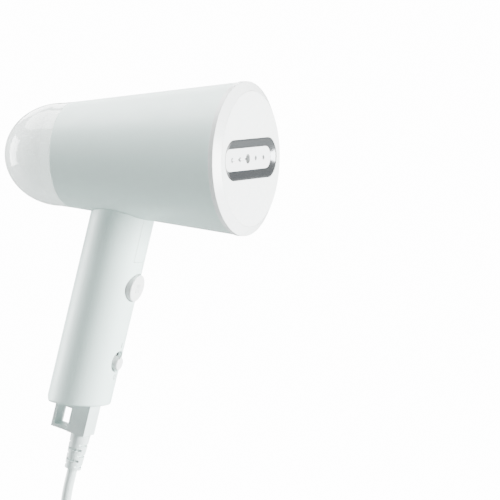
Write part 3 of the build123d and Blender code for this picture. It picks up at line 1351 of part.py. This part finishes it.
LOOP_HOLE_LOW = BLOCK_END_S + LOOP_WALL + 0.3
with BuildPart() as cord_anchor:
    with BuildSketch(GRIP_SIDE):
        with Locations((0, BLOCK_END_S)):
            Rectangle(BLOCK_DEPTH, GRIP_END_S / -2, align=(Align.MIN, Align.MIN))
    extrude(amount=BLOCK_WIDTH / 2, both=True)
    with BuildSketch(GRIP_SIDE):
        with Locations((-LOOP_REACH, BLOCK_END_S)):
            Rectangle(LOOP_REACH + 1, GRIP_END_S / -2, align=(Align.MIN, Align.MIN))
        with Locations((LOOP_WALL - LOOP_REACH, LOOP_HOLE_LOW)):
            Rectangle(
                LOOP_REACH - LOOP_WALL,
                LOOP_TOP_S - LOOP_HOLE_LOW,
                align=(Align.MIN, Align.MIN),
                mode=Mode.SUBTRACT,
            )
    extrude(amount=LOOP_WIDTH / 2, both=True)
    split(bisect_by=END_FACE, keep=Keep.BOTTOM)
    with BuildSketch(END_FACE.offset(-1)):
        with Locations((CORD_X - 0.5, 0)):
            Rectangle(SHANK_DEPTH, SHANK_WIDTH)
    extrude(amount=1 + END_WALL + 1)
    with BuildSketch(END_FACE.offset(END_WALL)):
        with Locations((CORD_X - 0.5, 0)):
            Rectangle(SHANK_DEPTH + 2 * SHANK_FLANGE_REACH, SHANK_WIDTH + 2 * SHANK_FLANGE_REACH)
    extrude(amount=SHANK_FLANGE)
    with BuildSketch(GRIP.offset(BLOCK_END_S)):
        with Locations((CORD_X, 0)):
            Circle(CORD_R + TIGHT)
    extrude(amount=-2 * BLOCK_END_S, mode=Mode.SUBTRACT)
    with BuildSketch(GRIP.offset(BLOCK_END_S)):
        with Locations((CORD_X, 0)):
            Circle(RELIEF_NECK_R + TIGHT)
    extrude(amount=RELIEF_NECK + TIGHT, mode=Mode.SUBTRACT)
cord_anchor.part.label = "cord_anchor"
export_step(cord_anchor.part, "parts/cord_anchor.step")

with BuildPart() as strain_relief:
    with BuildSketch(GRIP_SIDE):
        with BuildLine():
            Polyline(
                (CORD_X + CORD_R + TIGHT, RELIEF_END_S),
                (CORD_X + RELIEF_END_R, RELIEF_END_S),
                (CORD_X + RELIEF_TOP_R, BLOCK_END_S),
                (CORD_X + RELIEF_NECK_R, BLOCK_END_S),
                (CORD_X + RELIEF_NECK_R, BLOCK_END_S + RELIEF_NECK),
                (CORD_X + CORD_R + TIGHT, BLOCK_END_S + RELIEF_NECK),
                close=True,
            )
        make_face()
    revolve(axis=Axis(grip_point(CORD_X, 0), UPWARD))
    for k in range(5):
        with BuildSketch(GRIP.offset(BLOCK_END_S - RELIEF_FIRST - k * RELIEF_PITCH - RELIEF_SLOT / 2)):
            with Locations((CORD_X, 0)):
                Circle(RELIEF_TOP_R + 1)
                Circle(RELIEF_CORE_R, mode=Mode.SUBTRACT)
                if k % 2:
                    Rectangle(3 * RELIEF_TOP_R, RELIEF_TOP_R, mode=Mode.SUBTRACT)
                else:
                    Rectangle(RELIEF_TOP_R, 3 * RELIEF_TOP_R, mode=Mode.SUBTRACT)
        extrude(amount=RELIEF_SLOT, mode=Mode.SUBTRACT)
strain_relief.part.label = "strain_relief"
export_step(strain_relief.part, "parts/strain_relief.step")

# ================================================================ inner leads
with BuildPart() as mains_leads:
    for side in (1, -1):
        lead = [
            grip_point(CORD_X, CORD_END_S, side * CORE_Y),
            grip_point(CORD_X, CORD_END_S + 2.5, side * CORE_Y),
            grip_point(CORD_X, CORD_END_S + 8, side * MAINS_Y),
            grip_point(LEAD_X, TERMINAL_LOW - 6, side * MAINS_Y),
            grip_point(LEAD_X, TERMINAL_LOW, side * MAINS_Y),
        ]
        add(hose(lead, 2.0, WIRE_R, 0))
mains_leads.part.label = "mains_leads"
export_step(mains_leads.part, "parts/mains_leads.step")

tab_x = ELEMENT_X - 0.4
with BuildPart() as heater_leads:
    for side in (1, -1):
        lead = [
            grip_point(LEAD_X, TERMINAL_HIGH, side * LEAD_Y),
            grip_point(LEAD_X, POST_S + 6, side * LEAD_Y),
            Vector(PUMP_X + COIL_R + 2, side * 9, DOCK_Z - COIL_R - 4),
            Vector(LEDGE_FACE - LEDGE_THICK - 6, side * ELEMENT_BEND, BARREL_Z - LEAD_DROP),
            Vector(tab_x, side * ELEMENT_BEND, BARREL_Z - LEAD_DROP),
        ]
        add(hose(lead, 3.0, WIRE_R, 0))
heater_leads.part.label = "heater_leads"
export_step(heater_leads.part, "parts/heater_leads.step")

# ================================================================ free cord, hank and plug
# the cord leaves the relief in line with the grip and bends towards the vertical into the hank
relief_tip = grip_point(CORD_X, RELIEF_END_S)
HANK_PLACE = (relief_tip.X + CORD_SWAY[0], CORD_SWAY[1])
HANK_TOP = relief_tip.Z - CORD_DROP
cord_points = [
    relief_tip,
    grip_point(CORD_X, RELIEF_END_S - 18.5),
    Vector(HANK_PLACE[0], HANK_PLACE[1], HANK_TOP + 18.0),
    Vector(HANK_PLACE[0], HANK_PLACE[1], HANK_TOP),
]
cord_radii = bend_radii(cord_points)
print("cord bend radii", [round(r, 1) for r in cord_radii])

with BuildPart() as power_cord:
    with BuildSketch(GRIP.offset(CORD_END_S)):
        with Locations((CORD_X, 0)):
            Circle(CORD_R)
    extrude(amount=RELIEF_END_S - CORD_END_S)
    add(hose(cord_points, cord_radii, CORD_R, 0))
power_cord.part.label = "power_cord"
export_step(power_cord.part, "parts/power_cord.step")

HANK_X = HANK_PLACE[0] + HANK_LOOP_R
HANK_Y = HANK_PLACE[1] + HANK_LAYERS / 2
PLUG_X = HANK_PLACE[0]
PLUG_Y = HANK_PLACE[1] + HANK_LAYERS
HANK_BOTTOM = HANK_TOP - HANK_HEIGHT
HANK_MID = HANK_TOP - HANK_HEIGHT / 2
wide = HANK_WIDTH / 2
waist = HANK_WAIST / 2
flat = HANK_WAIST_HEIGHT / 2
with BuildPart() as cord_hank:
    with BuildSketch(Plane.XZ.offset(-HANK_Y)):
        with Locations((HANK_X, HANK_MID)):
            RectangleRounded(HANK_WIDTH, HANK_HEIGHT, HANK_CORNER)
        for side in (1, -1):
            with BuildLine():
                Polyline(
                    (HANK_X + side * (wide + 1), HANK_MID + flat + HANK_SHOULDER),
                    (HANK_X + side * wide, HANK_MID + flat + HANK_SHOULDER),
                    (HANK_X + side * waist, HANK_MID + flat),
                    (HANK_X + side * waist, HANK_MID - flat),
                    (HANK_X + side * wide, HANK_MID - flat - HANK_SHOULDER),
                    (HANK_X + side * (wide + 1), HANK_MID - flat - HANK_SHOULDER),
                    close=True,
                )
            make_face(mode=Mode.SUBTRACT)
    extrude(amount=HANK_DEPTH / 2, both=True)
cord_hank.part.label = "cord_hank"
export_step(cord_hank.part, "parts/cord_hank.step")

with BuildPart() as cord_tie:
    with BuildSketch(Plane.XY.offset(HANK_MID - TIE_WIDTH / 2)):
        with Locations((HANK_X, HANK_Y)):
            RectangleRounded(HANK_WAIST + 2 * TIE_WALL, HANK_DEPTH + 2 * TIE_WALL, 2)
            Rectangle(HANK_WAIST, HANK_DEPTH, mode=Mode.SUBTRACT)
    extrude(amount=TIE_WIDTH)
cord_tie.part.label = "cord_tie"
export_step(cord_tie.part, "parts/cord_tie.step")

PLUG_TOP = HANK_BOTTOM - PLUG_RELIEF
PLUG_FACE = PLUG_TOP - PLUG_LENGTH
with BuildPart() as plug_body:
    with BuildSketch(Plane.XZ.offset(-PLUG_Y)):
        with BuildLine():
            Polyline(
                (PLUG_X, HANK_BOTTOM),
                (PLUG_X + CORD_R + PLUG_RELIEF_TOP_WALL, HANK_BOTTOM),
                (PLUG_X + PLUG_RELIEF_R, PLUG_TOP),
                (PLUG_X + PLUG_TOP_R, PLUG_TOP),
                (PLUG_X + PLUG_R, PLUG_FACE + PLUG_STRAIGHT),
                (PLUG_X + PLUG_R, PLUG_FACE),
                (PLUG_X, PLUG_FACE),
                close=True,
            )
        make_face()
    revolve(axis=Axis((PLUG_X, PLUG_Y, 0), (0, 0, 1)))
    with BuildSketch(Plane.XY.offset(PLUG_FACE)):
        with Locations((PLUG_X, PLUG_Y)):
            Rectangle(2 * PLUG_R, PLUG_DEPTH)
    extrude(amount=PLUG_LENGTH + PLUG_RELIEF, mode=Mode.INTERSECT)
plug_body.part.label = "plug_body"
export_step(plug_body.part, "parts/plug_body.step")

with BuildPart() as plug_pins:
    with BuildSketch(Plane.XY.offset(PLUG_FACE)):
        with Locations((PLUG_X + PIN_SPACING / 2, PLUG_Y), (PLUG_X - PIN_SPACING / 2, PLUG_Y)):
            Circle(PIN_R)
    extrude(amount=-PIN_LENGTH)
    chamfer(plug_pins.faces().sort_by(Axis.Z)[:2].edges(), length=0.8)
plug_pins.part.label = "plug_pins"
export_step(plug_pins.part, "parts/plug_pins.step")
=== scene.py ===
# Handheld garment steamer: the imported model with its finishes, its cord and its marks.
import json
import math

import bpy
from mathutils import Matrix, Vector


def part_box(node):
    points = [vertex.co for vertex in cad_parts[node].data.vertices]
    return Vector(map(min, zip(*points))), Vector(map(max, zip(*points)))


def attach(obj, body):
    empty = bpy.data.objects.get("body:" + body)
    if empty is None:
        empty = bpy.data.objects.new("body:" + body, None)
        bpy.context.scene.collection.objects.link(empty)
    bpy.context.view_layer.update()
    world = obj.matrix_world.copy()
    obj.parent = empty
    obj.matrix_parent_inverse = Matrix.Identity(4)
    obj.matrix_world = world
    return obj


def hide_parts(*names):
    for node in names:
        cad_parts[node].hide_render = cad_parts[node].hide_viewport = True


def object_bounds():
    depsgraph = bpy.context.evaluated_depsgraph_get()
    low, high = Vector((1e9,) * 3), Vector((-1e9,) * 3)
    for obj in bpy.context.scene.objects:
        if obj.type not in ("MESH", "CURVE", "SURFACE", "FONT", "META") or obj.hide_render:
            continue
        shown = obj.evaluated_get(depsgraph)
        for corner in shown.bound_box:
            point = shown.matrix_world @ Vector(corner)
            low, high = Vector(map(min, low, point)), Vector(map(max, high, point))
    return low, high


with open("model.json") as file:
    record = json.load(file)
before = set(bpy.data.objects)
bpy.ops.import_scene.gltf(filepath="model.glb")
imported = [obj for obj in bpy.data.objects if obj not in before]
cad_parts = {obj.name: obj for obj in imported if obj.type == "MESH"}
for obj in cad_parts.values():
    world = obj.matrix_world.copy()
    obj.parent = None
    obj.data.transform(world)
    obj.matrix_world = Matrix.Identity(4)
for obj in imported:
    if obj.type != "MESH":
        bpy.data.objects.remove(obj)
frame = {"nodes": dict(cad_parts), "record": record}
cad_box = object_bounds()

bpy.ops.object.select_all(action="DESELECT")

# ---- camera -----------------------------------------------------------------------------
# A long lens a little over two metres away. It looks slightly down on the steamer's side
# and sees its front obliquely.
azimuth, elevation = math.radians(25.23), math.radians(4.36)
camera_reach, camera_aside, camera_above = 2.2, 0.09291, 0.030
horizon = 2000  # the far edge of the floor is still in view
ahead = Vector((
    -math.sin(azimuth) * math.cos(elevation),
    math.cos(azimuth) * math.cos(elevation),
    -math.sin(elevation),
))
aside = Vector((math.cos(azimuth), math.sin(azimuth), 0))
above = aside.cross(ahead)
bpy.ops.object.camera_add()
camera = bpy.context.object
camera.name = "studio_camera"
camera.data.lens = 250.06
camera.data.sensor_width = 36
camera.data.clip_start = 0.1
camera.data.clip_end = horizon
stand = aside * camera_aside + above * camera_above - ahead * camera_reach
camera.matrix_world = (
    Matrix.Translation(stand) @ Matrix((aside, above, -ahead)).transposed().to_4x4()
)
bpy.context.scene.camera = camera

# ---- mains cord, its hank and its plug --------------------------------------------------
# A round two-core lead in soft light grey PVC. It leaves the relief in line with the grip
# and is folded into a hank below it, held by a strap. The plug and pins are moulded on.
cord_d = 0.0064
cord_exit = (-0.01642, 0, -0.08753)
cord_way = [  # from the clamp inside the grip to the top of the hank
    (-0.00896, 0, -0.05972),
    cord_exit,
    (-0.02250, 0, -0.11023),
    (-0.02728, 0, -0.12810),
    (-0.0298, 0.0008, -0.1480),
    (-0.0298, 0.0008, -0.1660),
]
hank_x, hank_mid = -0.0106, -0.241  # its middle, and the height of the tie
fold_r, fold_z = 0.0192, 0.0518  # radius of the folds, and how far they lie from the tie
corner = fold_r * math.tan(math.pi / 8)
layer, first_y, turns = 0.0065, 0.0008, 5
strand = [  # height about the tie, and distance from the hank's middle
    (0.033, fold_r), (0.012, 0.0063), (-0.012, 0.0063), (-0.033, fold_r),
]
for turn in range(turns + 1):
    y = first_y + layer * turn
    cord_way += [(hank_x - out, y, hank_mid + z) for z, out in strand]
    if turn == turns:
        break
    low, high = hank_mid - fold_z, hank_mid + fold_z
    fold = [(-fold_r, corner), (-corner, fold_r), (corner, fold_r), (fold_r, corner)]
    cord_way += [(hank_x + x, y, low - z) for x, z in fold]
    cord_way += [(hank_x + out, y, hank_mid - z) for z, out in strand]
    cord_way += [
        (hank_x - x, y + layer * k / 3, high + z) for k, (x, z) in enumerate(fold)
    ]
plug_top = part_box("plug_body")[1][2]
last_run = (hank_mid - fold_z - 0.006, plug_top + 0.003, plug_top - 0.010)
cord_way += [(hank_x - fold_r, y, z) for z in last_run]
cord_line = bpy.data.curves.new("mains_cord", "CURVE")
cord_line.dimensions = "3D"
spline = cord_line.splines.new("NURBS")
spline.points.add(len(cord_way) - 1)
for point, place in zip(spline.points, cord_way):
    point.co = (*place, 1)
spline.order_u = 3
spline.use_endpoint_u = True
cord_line.resolution_u = 10
cord_line.bevel_depth = cord_d / 2
cord_line.bevel_resolution = 6
cord_line.use_fill_caps = True
mains_cord = bpy.data.objects.new("mains_cord", cord_line)
bpy.context.scene.collection.objects.link(mains_cord)


def socket(tree, way, name, kind, value=None):
    """One named input or output of a node group."""
    made = tree.interface.new_socket(name=name, in_out=way, socket_type="NodeSocket" + kind)
    if value is not None:
        made.default_value = value


def node(tree, kind, links=(), **settings):
    """A shader node; links maps its inputs to other nodes' outputs or plain values."""
    made = tree.nodes.new("ShaderNode" + kind)
    for key, value in settings.items():
        setattr(made, key, value)
    for key, value in dict(links).items():
        if isinstance(value, bpy.types.NodeSocket):
            tree.links.new(value, made.inputs[key])
        else:
            made.inputs[key].default_value = value
    return made


# Moulded skin, shared by every plastic, rubber and metal here: a slight cloudiness of the
# colour, uneven gloss, the fine spark-eroded grain of the mould, and softened, paler edges.
skin = bpy.data.node_groups.new("moulded_skin", "ShaderNodeTree")
for name, kind, value in (
    ("Colour", "Color", (0.8, 0.8, 0.8, 1)),
    ("Cloud", "Float", 0.03),
    ("Cloud Scale", "Float", 25),
    ("Rough Low", "Float", 0.35),
    ("Rough High", "Float", 0.45),
    ("Grain Scale", "Float", 1500),
    ("Grain Height", "Float", 0.00001),
    ("Edge", "Float", 0.0004),
    ("Edge Wear", "Float", 0.1),
):
    socket(skin, "INPUT", name, kind, value)
for name, kind in (("Colour", "Color"), ("Roughness", "Float"), ("Normal", "Vector")):
    socket(skin, "OUTPUT", name, kind)
given = skin.nodes.new("NodeGroupInput").outputs
place = node(skin, "TexCoord").outputs["Object"]
cloud = node(skin, "TexNoise", {
    "Vector": place, "Scale": given["Cloud Scale"], "Detail": 4, "Roughness": 0.55,
})
shade = node(skin, "Math", {0: cloud.outputs["Fac"], 1: 0.5}, operation="SUBTRACT")
shade = node(skin, "Math", {0: shade.outputs[0], 1: given["Cloud"]}, operation="MULTIPLY")
shade = node(skin, "Math", {0: shade.outputs[0], 1: 2.0, 2: 1.0}, operation="MULTIPLY_ADD")
tinted = node(skin, "VectorMath", {0: given["Colour"], "Scale": shade.outputs[0]},
              operation="SCALE")
soft = node(skin, "Bevel", {"Radius": given["Edge"]}, samples=4)
face = node(skin, "NewGeometry")
same = node(skin, "VectorMath", {0: soft.outputs[0], 1: face.outputs["Normal"]},
            operation="DOT_PRODUCT")
worn = node(skin, "MapRange", {
    "Value": same.outputs["Value"], "From Min": 0.995, "From Max": 0.85,
    "To Min": 0, "To Max": given["Edge Wear"],
})
pale = node(skin, "Mix", {
    0: worn.outputs[0], 6: tinted.outputs[0], 7: (0.95, 0.95, 0.94, 1),
}, data_type="RGBA")
patch = node(skin, "TexNoise", {"Vector": place, "Scale": 90, "Detail": 3})
gloss = node(skin, "MapRange", {
    "Value": patch.outputs["Fac"], "From Min": 0.3, "From Max": 0.7,
    "To Min": given["Rough Low"], "To Max": given["Rough High"],
})
grain = node(skin, "TexNoise", {
    "Vector": place, "Scale": given["Grain Scale"], "Detail": 1, "Roughness": 0.5,
})
relief = node(skin, "Bump", {
    "Strength": 1.0, "Distance": given["Grain Height"],
    "Height": grain.outputs["Fac"], "Normal": soft.outputs[0],
})
made = skin.nodes.new("NodeGroupOutput")
skin.links.new(pale.outputs[2], made.inputs["Colour"])
skin.links.new(gloss.outputs[0], made.inputs["Roughness"])
skin.links.new(relief.outputs[0], made.inputs["Normal"])


def finish(name, colour, rough, shader=(), **skin_values):
    """A material on the moulded skin; shader sets plain values on its own sockets."""
    material = bpy.data.materials.new(name)
    material.use_nodes = True
    tree = material.node_tree
    surface = tree.nodes["Principled BSDF"]
    values = {"Colour": (*colour, 1), "Rough Low": rough[0], "Rough High": rough[1]}
    values.update({key.replace("_", " "): value for key, value in skin_values.items()})
    skinned = node(tree, "Group", node_tree=skin)
    for key, value in values.items():
        skinned.inputs[key].default_value = value
    tree.links.new(skinned.outputs["Colour"], surface.inputs["Base Color"])
    tree.links.new(skinned.outputs["Roughness"], surface.inputs["Roughness"])
    tree.links.new(skinned.outputs["Normal"], surface.inputs["Normal"])
    for key, value in dict(shader).items():
        surface.inputs[key].default_value = value
    material.diffuse_color = (*colour, 1)
    return material


def coat(slot, material):
    """Puts the material on every CAD node of that slot of the record."""
    for part in frame["record"]["subparts"]:
        if part["material_slot"] == slot:
            mesh = frame["nodes"][part["node"]].data
            if not mesh.materials:
                mesh.materials.append(material)
            for k in range(len(mesh.materials)):
                mesh.materials[k] = material


pvc = finish("soft_pvc", (0.66, 0.76, 0.74), (0.42, 0.55), Cloud=0.04, Cloud_Scale=60,
             Grain_Scale=900, Grain_Height=0.00003, Edge=0.0003, Edge_Wear=0.15)
cord_line.materials.append(pvc)
coat("cord_plastic", pvc)
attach(mains_cord, "housing")
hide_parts("power_cord", "cord_hank")

# The strap round the hank: black woven hook-and-loop tape, 12 mm wide.
strap = finish("woven_strap", (0.05, 0.055, 0.06), (0.8, 0.95), Cloud=0.2, Edge_Wear=0.02)
tree = strap.node_tree
place = node(tree, "TexCoord").outputs["Object"]
threads = [
    node(tree, "TexWave", {"Vector": place, "Scale": 260, "Distortion": 0.6},
         bands_direction=way).outputs["Fac"] for way in ("Z", "DIAGONAL")
]
weave = node(tree, "Math", {0: threads[0], 1: threads[1]}, operation="MULTIPLY")
raised = node(tree, "Bump", {"Strength": 0.8, "Distance": 0.0004, "Height": weave.outputs[0]})
tree.links.new(raised.outputs[0], tree.nodes["Principled BSDF"].inputs["Normal"])
coat("tie", strap)

# The plug's pins: turned brass, nickel-plated.
coat("pins", finish("nickelled_brass", (0.80, 0.78, 0.72), (0.16, 0.28), {"Metallic": 1.0},
                    Cloud=0.05, Grain_Height=0.000004))

# ---- floor and light --------------------------------------------------------------------
# A plain white floor, a wide soft light above, softboxes at the front, the rear and the
# left, and a pale surround.
floor_gap, floor_size = 0.003, 1200
bpy.ops.mesh.primitive_plane_add(size=floor_size, location=(0, 0, cad_box[0][2] - floor_gap))
floor = bpy.context.object
floor.name = "studio_floor"
paper = bpy.data.materials.new("studio_paper")
paper.use_nodes = True
tree = paper.node_tree
surface = tree.nodes["Principled BSDF"]
surface.inputs["Base Color"].default_value = (0.20, 0.21, 0.21, 1)
surface.inputs["Roughness"].default_value = 1.0
surface.inputs["Specular IOR Level"].default_value = 0.0
surface.inputs["Emission Color"].default_value = (1, 1, 1, 1)
paper_white = 14.0
path = node(tree, "LightPath")
lift = node(tree, "Math", {0: path.outputs["Is Camera Ray"], 1: paper_white},
            operation="MULTIPLY")
tree.links.new(lift.outputs[0], surface.inputs["Emission Strength"])
floor.data.materials.append(paper)
world = bpy.data.worlds.new("studio_surround")
world.use_nodes = True
world.node_tree.nodes["Background"].inputs["Color"].default_value = (0.95, 0.98, 1.0, 1)
world.node_tree.nodes["Background"].inputs["Strength"].default_value = 0.20
bpy.context.scene.world = world
bpy.ops.object.light_add(type="SUN")
lamp = bpy.context.object
lamp.name = "top_light"
lamp.data.energy = 11.0
lamp.data.angle = math.radians(50)
lamp.matrix_world = Vector((-0.5, 0.05, 0.85)).to_track_quat("Z", "Y").to_matrix().to_4x4()
for name, spot, wide, tall, power in (
    ("front_light", (1.45, 0.1, -0.02), 0.8, 0.7, 135.0),
    ("rear_light", (-0.85, 1.1, 0.85), 1.0, 0.6, 26.0),
    ("left_light", (-1.5, -0.05, 0.15), 0.6, 0.9, 50.0),
):
    bpy.ops.object.light_add(type="AREA")
    lamp = bpy.context.object
    lamp.name = name
    lamp.data.shape = "RECTANGLE"
    lamp.data.size = wide
    lamp.data.size_y = tall
    lamp.data.energy = power
    lamp.visible_camera = False
    lamp.matrix_world = (
        Matrix.Translation(spot) @ Vector(spot).to_track_quat("Z", "Y").to_matrix().to_4x4()
    )

# ---- barrel and grip --------------------------------------------------------------------
# Injection-moulded shells in pale grey-green ABS, with the fine satin grain of the mould.
casing = finish("satin_casing", (0.70, 0.86, 0.82), (0.36, 0.46), Cloud=0.012,
                Grain_Height=0.000008, Edge=0.0005, Edge_Wear=0.25)
coat("casing", casing)

# ---- front ring and panel ---------------------------------------------------------------
# The ring and the face round the steam outlet: off-white, smoother than the barrel.
coat("front", finish("satin_front", (0.84, 0.875, 0.865), (0.24, 0.32), Cloud=0.01,
                     Grain_Height=0.000004, Edge=0.0005, Edge_Wear=0.2))

# ---- trim and plate of the steam outlet -------------------------------------------------
# A dark plated ring clipped into the recess, and a light moulded plate with the steam holes.
coat("trim", finish("plated_trim", (0.10, 0.106, 0.11), (0.12, 0.2), {"Metallic": 0.7},
                    Cloud=0.04, Grain_Height=0.000002, Edge=0.0003, Edge_Wear=0.1))
coat("steam_plate", finish("steam_plate", (0.80, 0.82, 0.82), (0.28, 0.38), Cloud=0.02,
                           Edge=0.0003, Edge_Wear=0.2))

# ---- water tank -------------------------------------------------------------------------
# Injection-moulded clear copolyester with a polished outside. The inside is frosted, so the
# wall reads white. A weak emission paints a faint glow where the water would scatter light.
tank_low, tank_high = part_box("tank_shell")
dome_depth, cone_drop = 0.0384, 0.0008
dome_r = (tank_high[2] - tank_low[2]) / 2 - cone_drop
tank = finish("frosted_tank_painted_glow", (0.93, 0.965, 0.955), (0.3, 0.4),
              {"Transmission Weight": 0.45, "IOR": 1.45,
               # Painted glow: the tank gives off a little light of its own, though it is no lamp.
               "Emission Color": (0.92, 1, 0.975, 1), "Emission Strength": 0.32},
              Cloud=0.01, Grain_Height=0.000002, Edge=0.0004, Edge_Wear=0.0)
tree = tank.node_tree
place = node(tree, "TexCoord").outputs["Object"]
centre = (tank_low[0] + dome_depth, 0, (tank_low[2] + tank_high[2]) / 2)
out = node(tree, "VectorMath", {0: place, 1: centre}, operation="SUBTRACT")
out = node(tree, "VectorMath", {0: out.outputs[0], 1: (dome_depth, dome_r, dome_r)},
           operation="DIVIDE")
out = node(tree, "VectorMath", {0: out.outputs[0], 1: (0, 9, 9)}, operation="MINIMUM")
reach = node(tree, "VectorMath", {0: out.outputs[0]}, operation="LENGTH")
matt = node(tree, "MapRange", {
    "Value": reach.outputs["Value"], "From Min": 0.955, "From Max": 0.98,
    "To Min": 0.62, "To Max": 0.06,
})
tree.links.new(matt.outputs[0], tree.nodes["Principled BSDF"].inputs["Roughness"])
coat("tank_clear", tank)

# ---- steam button and power switch ------------------------------------------------------
# The button's cap and the switch's knob: satin light grey, moulded smoother than the grip.
coat("button", finish("satin_button", (0.80, 0.83, 0.82), (0.26, 0.36), Cloud=0.015,
                      Grain_Height=0.000004, Edge=0.0004, Edge_Wear=0.2))

# Marks on the grip: I above the switch and O below it, and three wavy ribs on the button.
# Each is made flat, then laid on the curved skin of its part.
tilt = math.radians(15)
clear_of_grip = 0.06
outward = Vector((math.cos(tilt), 0, -math.sin(tilt)))
upward = Vector((math.sin(tilt), 0, math.cos(tilt)))


def lay_on(piece, part, along_grip):
    """A vertex (across, along, high) goes to that place on the part's front, as high above it."""
    skin_of = frame["nodes"][part]
    for vertex in piece.data.vertices:
        across, along, high = vertex.co
        start = upward * (along_grip + along) + outward * clear_of_grip
        start += Vector((0, across, 0))
        landed = skin_of.ray_cast(start, -outward)[1]
        vertex.co = landed + outward * high


def mark(piece, name, part, along_grip, body, material):
    """Names a finished mark, lays it on its part and lets it ride there."""
    piece.name = name
    bpy.ops.object.transform_apply(location=True, rotation=True, scale=True)
    lay_on(piece, part, along_grip)
    piece.data.materials.append(material)
    bpy.ops.object.shade_smooth_by_angle(angle=math.radians(35))
    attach(piece, body)


ink = finish("printed_grey", (0.30, 0.33, 0.33), (0.4, 0.5), Cloud=0.05, Edge_Wear=0.0)
bpy.ops.mesh.primitive_cube_add(size=1)
bar = bpy.context.object
bar.scale = (0.00055, 0.0030, 0.0003)  # across, along and high
bpy.ops.object.transform_apply(location=False, rotation=False, scale=True)
bpy.ops.object.mode_set(mode="EDIT")
bpy.ops.mesh.subdivide(number_cuts=3)
bpy.ops.mesh.select_all(action="SELECT")
bpy.ops.mesh.bevel(offset=0.00008, segments=2)
bpy.ops.object.mode_set(mode="OBJECT")
mark(bar, "mark_on", "grip_shell", -0.0256, "housing", ink)

bpy.ops.mesh.primitive_torus_add(major_radius=0.00125, minor_radius=0.00028,
                                 major_segments=48, minor_segments=10)
ring = bpy.context.object
ring.scale = (1, 1.15, 0.6)
mark(ring, "mark_off", "grip_shell", -0.0467, "housing", ink)

rib_pitch, rib_sway, rib_half, rib_r, rib_points = 0.0019, 0.0005, 0.0026, 0.0003, 9
ribs = []
for k in (-1, 0, 1):
    line = bpy.data.curves.new("rib", "CURVE")
    line.dimensions = "3D"
    wave = line.splines.new("NURBS")
    wave.points.add(rib_points - 1)
    for n, point in enumerate(wave.points):
        turn = n / (rib_points - 1) * 2 - 1
        sway = rib_sway * math.sin(turn * math.pi)
        point.co = (rib_pitch * k + sway, rib_half * turn, 0, 1)
    wave.use_endpoint_u = True
    line.bevel_depth = rib_r
    line.bevel_resolution = 3
    line.use_fill_caps = True
    rib = bpy.data.objects.new("rib", line)
    bpy.context.scene.collection.objects.link(rib)
    ribs.append(rib)
bpy.ops.object.select_all(action="DESELECT")
for rib in ribs:
    rib.select_set(True)
bpy.context.view_layer.objects.active = ribs[0]
bpy.ops.object.convert(target="MESH")
bpy.ops.object.join()
symbol = bpy.context.object
mark(symbol, "button_symbol", "steam_button", 0.0125, "button",
     finish("button_ribs", (0.72, 0.75, 0.74), (0.3, 0.4), Cloud=0.02, Edge_Wear=0.1))

# ---- seals, pads and hoses --------------------------------------------------------------
# Red silicone gaskets, black rubber pump pads and translucent silicone hoses.
coat("seal", finish("silicone_seal", (0.55, 0.12, 0.07), (0.5, 0.62), Cloud=0.08))
coat("pads", finish("rubber_pads", (0.03, 0.03, 0.03), (0.7, 0.85), Cloud=0.15,
                    Grain_Height=0.00003))
coat("hose", finish("silicone_hose", (0.85, 0.85, 0.80), (0.3, 0.4),
                    {"Transmission Weight": 0.35, "IOR": 1.41}, Cloud=0.03))

# ---- boiler, steel parts and springs ----------------------------------------------------
# Die-cast aluminium boiler halves and manifold, zinc-plated pressings and screws, and
# drawn spring wire.
coat("cast", finish("cast_aluminium", (0.62, 0.63, 0.64), (0.42, 0.6), {"Metallic": 1.0},
                    Cloud=0.1, Cloud_Scale=120, Grain_Scale=1100, Grain_Height=0.00006))
coat("steel", finish("zinc_steel", (0.66, 0.66, 0.63), (0.25, 0.42), {"Metallic": 1.0},
                     Cloud=0.12, Cloud_Scale=200, Grain_Height=0.000004))
coat("spring", finish("spring_wire", (0.62, 0.62, 0.64), (0.2, 0.3), {"Metallic": 1.0},
                      Cloud=0.06, Grain_Height=0.000003))

# ---- inner mouldings, coil, board and leads ---------------------------------------------
# Natural and black nylon, the pump's taped coil, the control board with its green mask, and
# silicone-covered leads.
coat("inner_plastic", finish("natural_nylon", (0.80, 0.79, 0.73), (0.4, 0.52), Cloud=0.03))
coat("black_plastic", finish("black_nylon", (0.02, 0.02, 0.021), (0.35, 0.5), Cloud=0.2))
board = finish("solder_mask", (0.02, 0.16, 0.06), (0.2, 0.3), Cloud=0.1)
tree = board.node_tree
place = node(tree, "TexCoord").outputs["Object"]
tracks = node(tree, "TexBrick", {
    "Vector": place, "Scale": 160, "Color1": (0, 0, 0, 1), "Color2": (0, 0, 0, 1),
    "Mortar": (1, 1, 1, 1), "Mortar Size": 0.03,
})
masked = node(tree, "Mix", {
    0: tracks.outputs["Color"], 6: (0.02, 0.16, 0.06, 1), 7: (0.06, 0.30, 0.12, 1),
}, data_type="RGBA")
tree.links.new(masked.outputs[2], tree.nodes["Principled BSDF"].inputs["Base Color"])
coat("board", board)
coil = finish("wound_coil", (0.34, 0.12, 0.035), (0.3, 0.45), Cloud=0.1)
tree = coil.node_tree
turns_of_wire = node(tree, "TexWave", {
    "Vector": node(tree, "TexCoord").outputs["Object"], "Scale": 500,
}, bands_direction="X")
wound = node(tree, "Bump", {
    "Strength": 0.6, "Distance": 0.0002, "Height": turns_of_wire.outputs["Fac"],
})
tree.links.new(wound.outputs[0], tree.nodes["Principled BSDF"].inputs["Normal"])
coat("copper", coil)
coat("lead_wire", finish("lead_silicone", (0.62, 0.62, 0.60), (0.45, 0.6), Cloud=0.05))
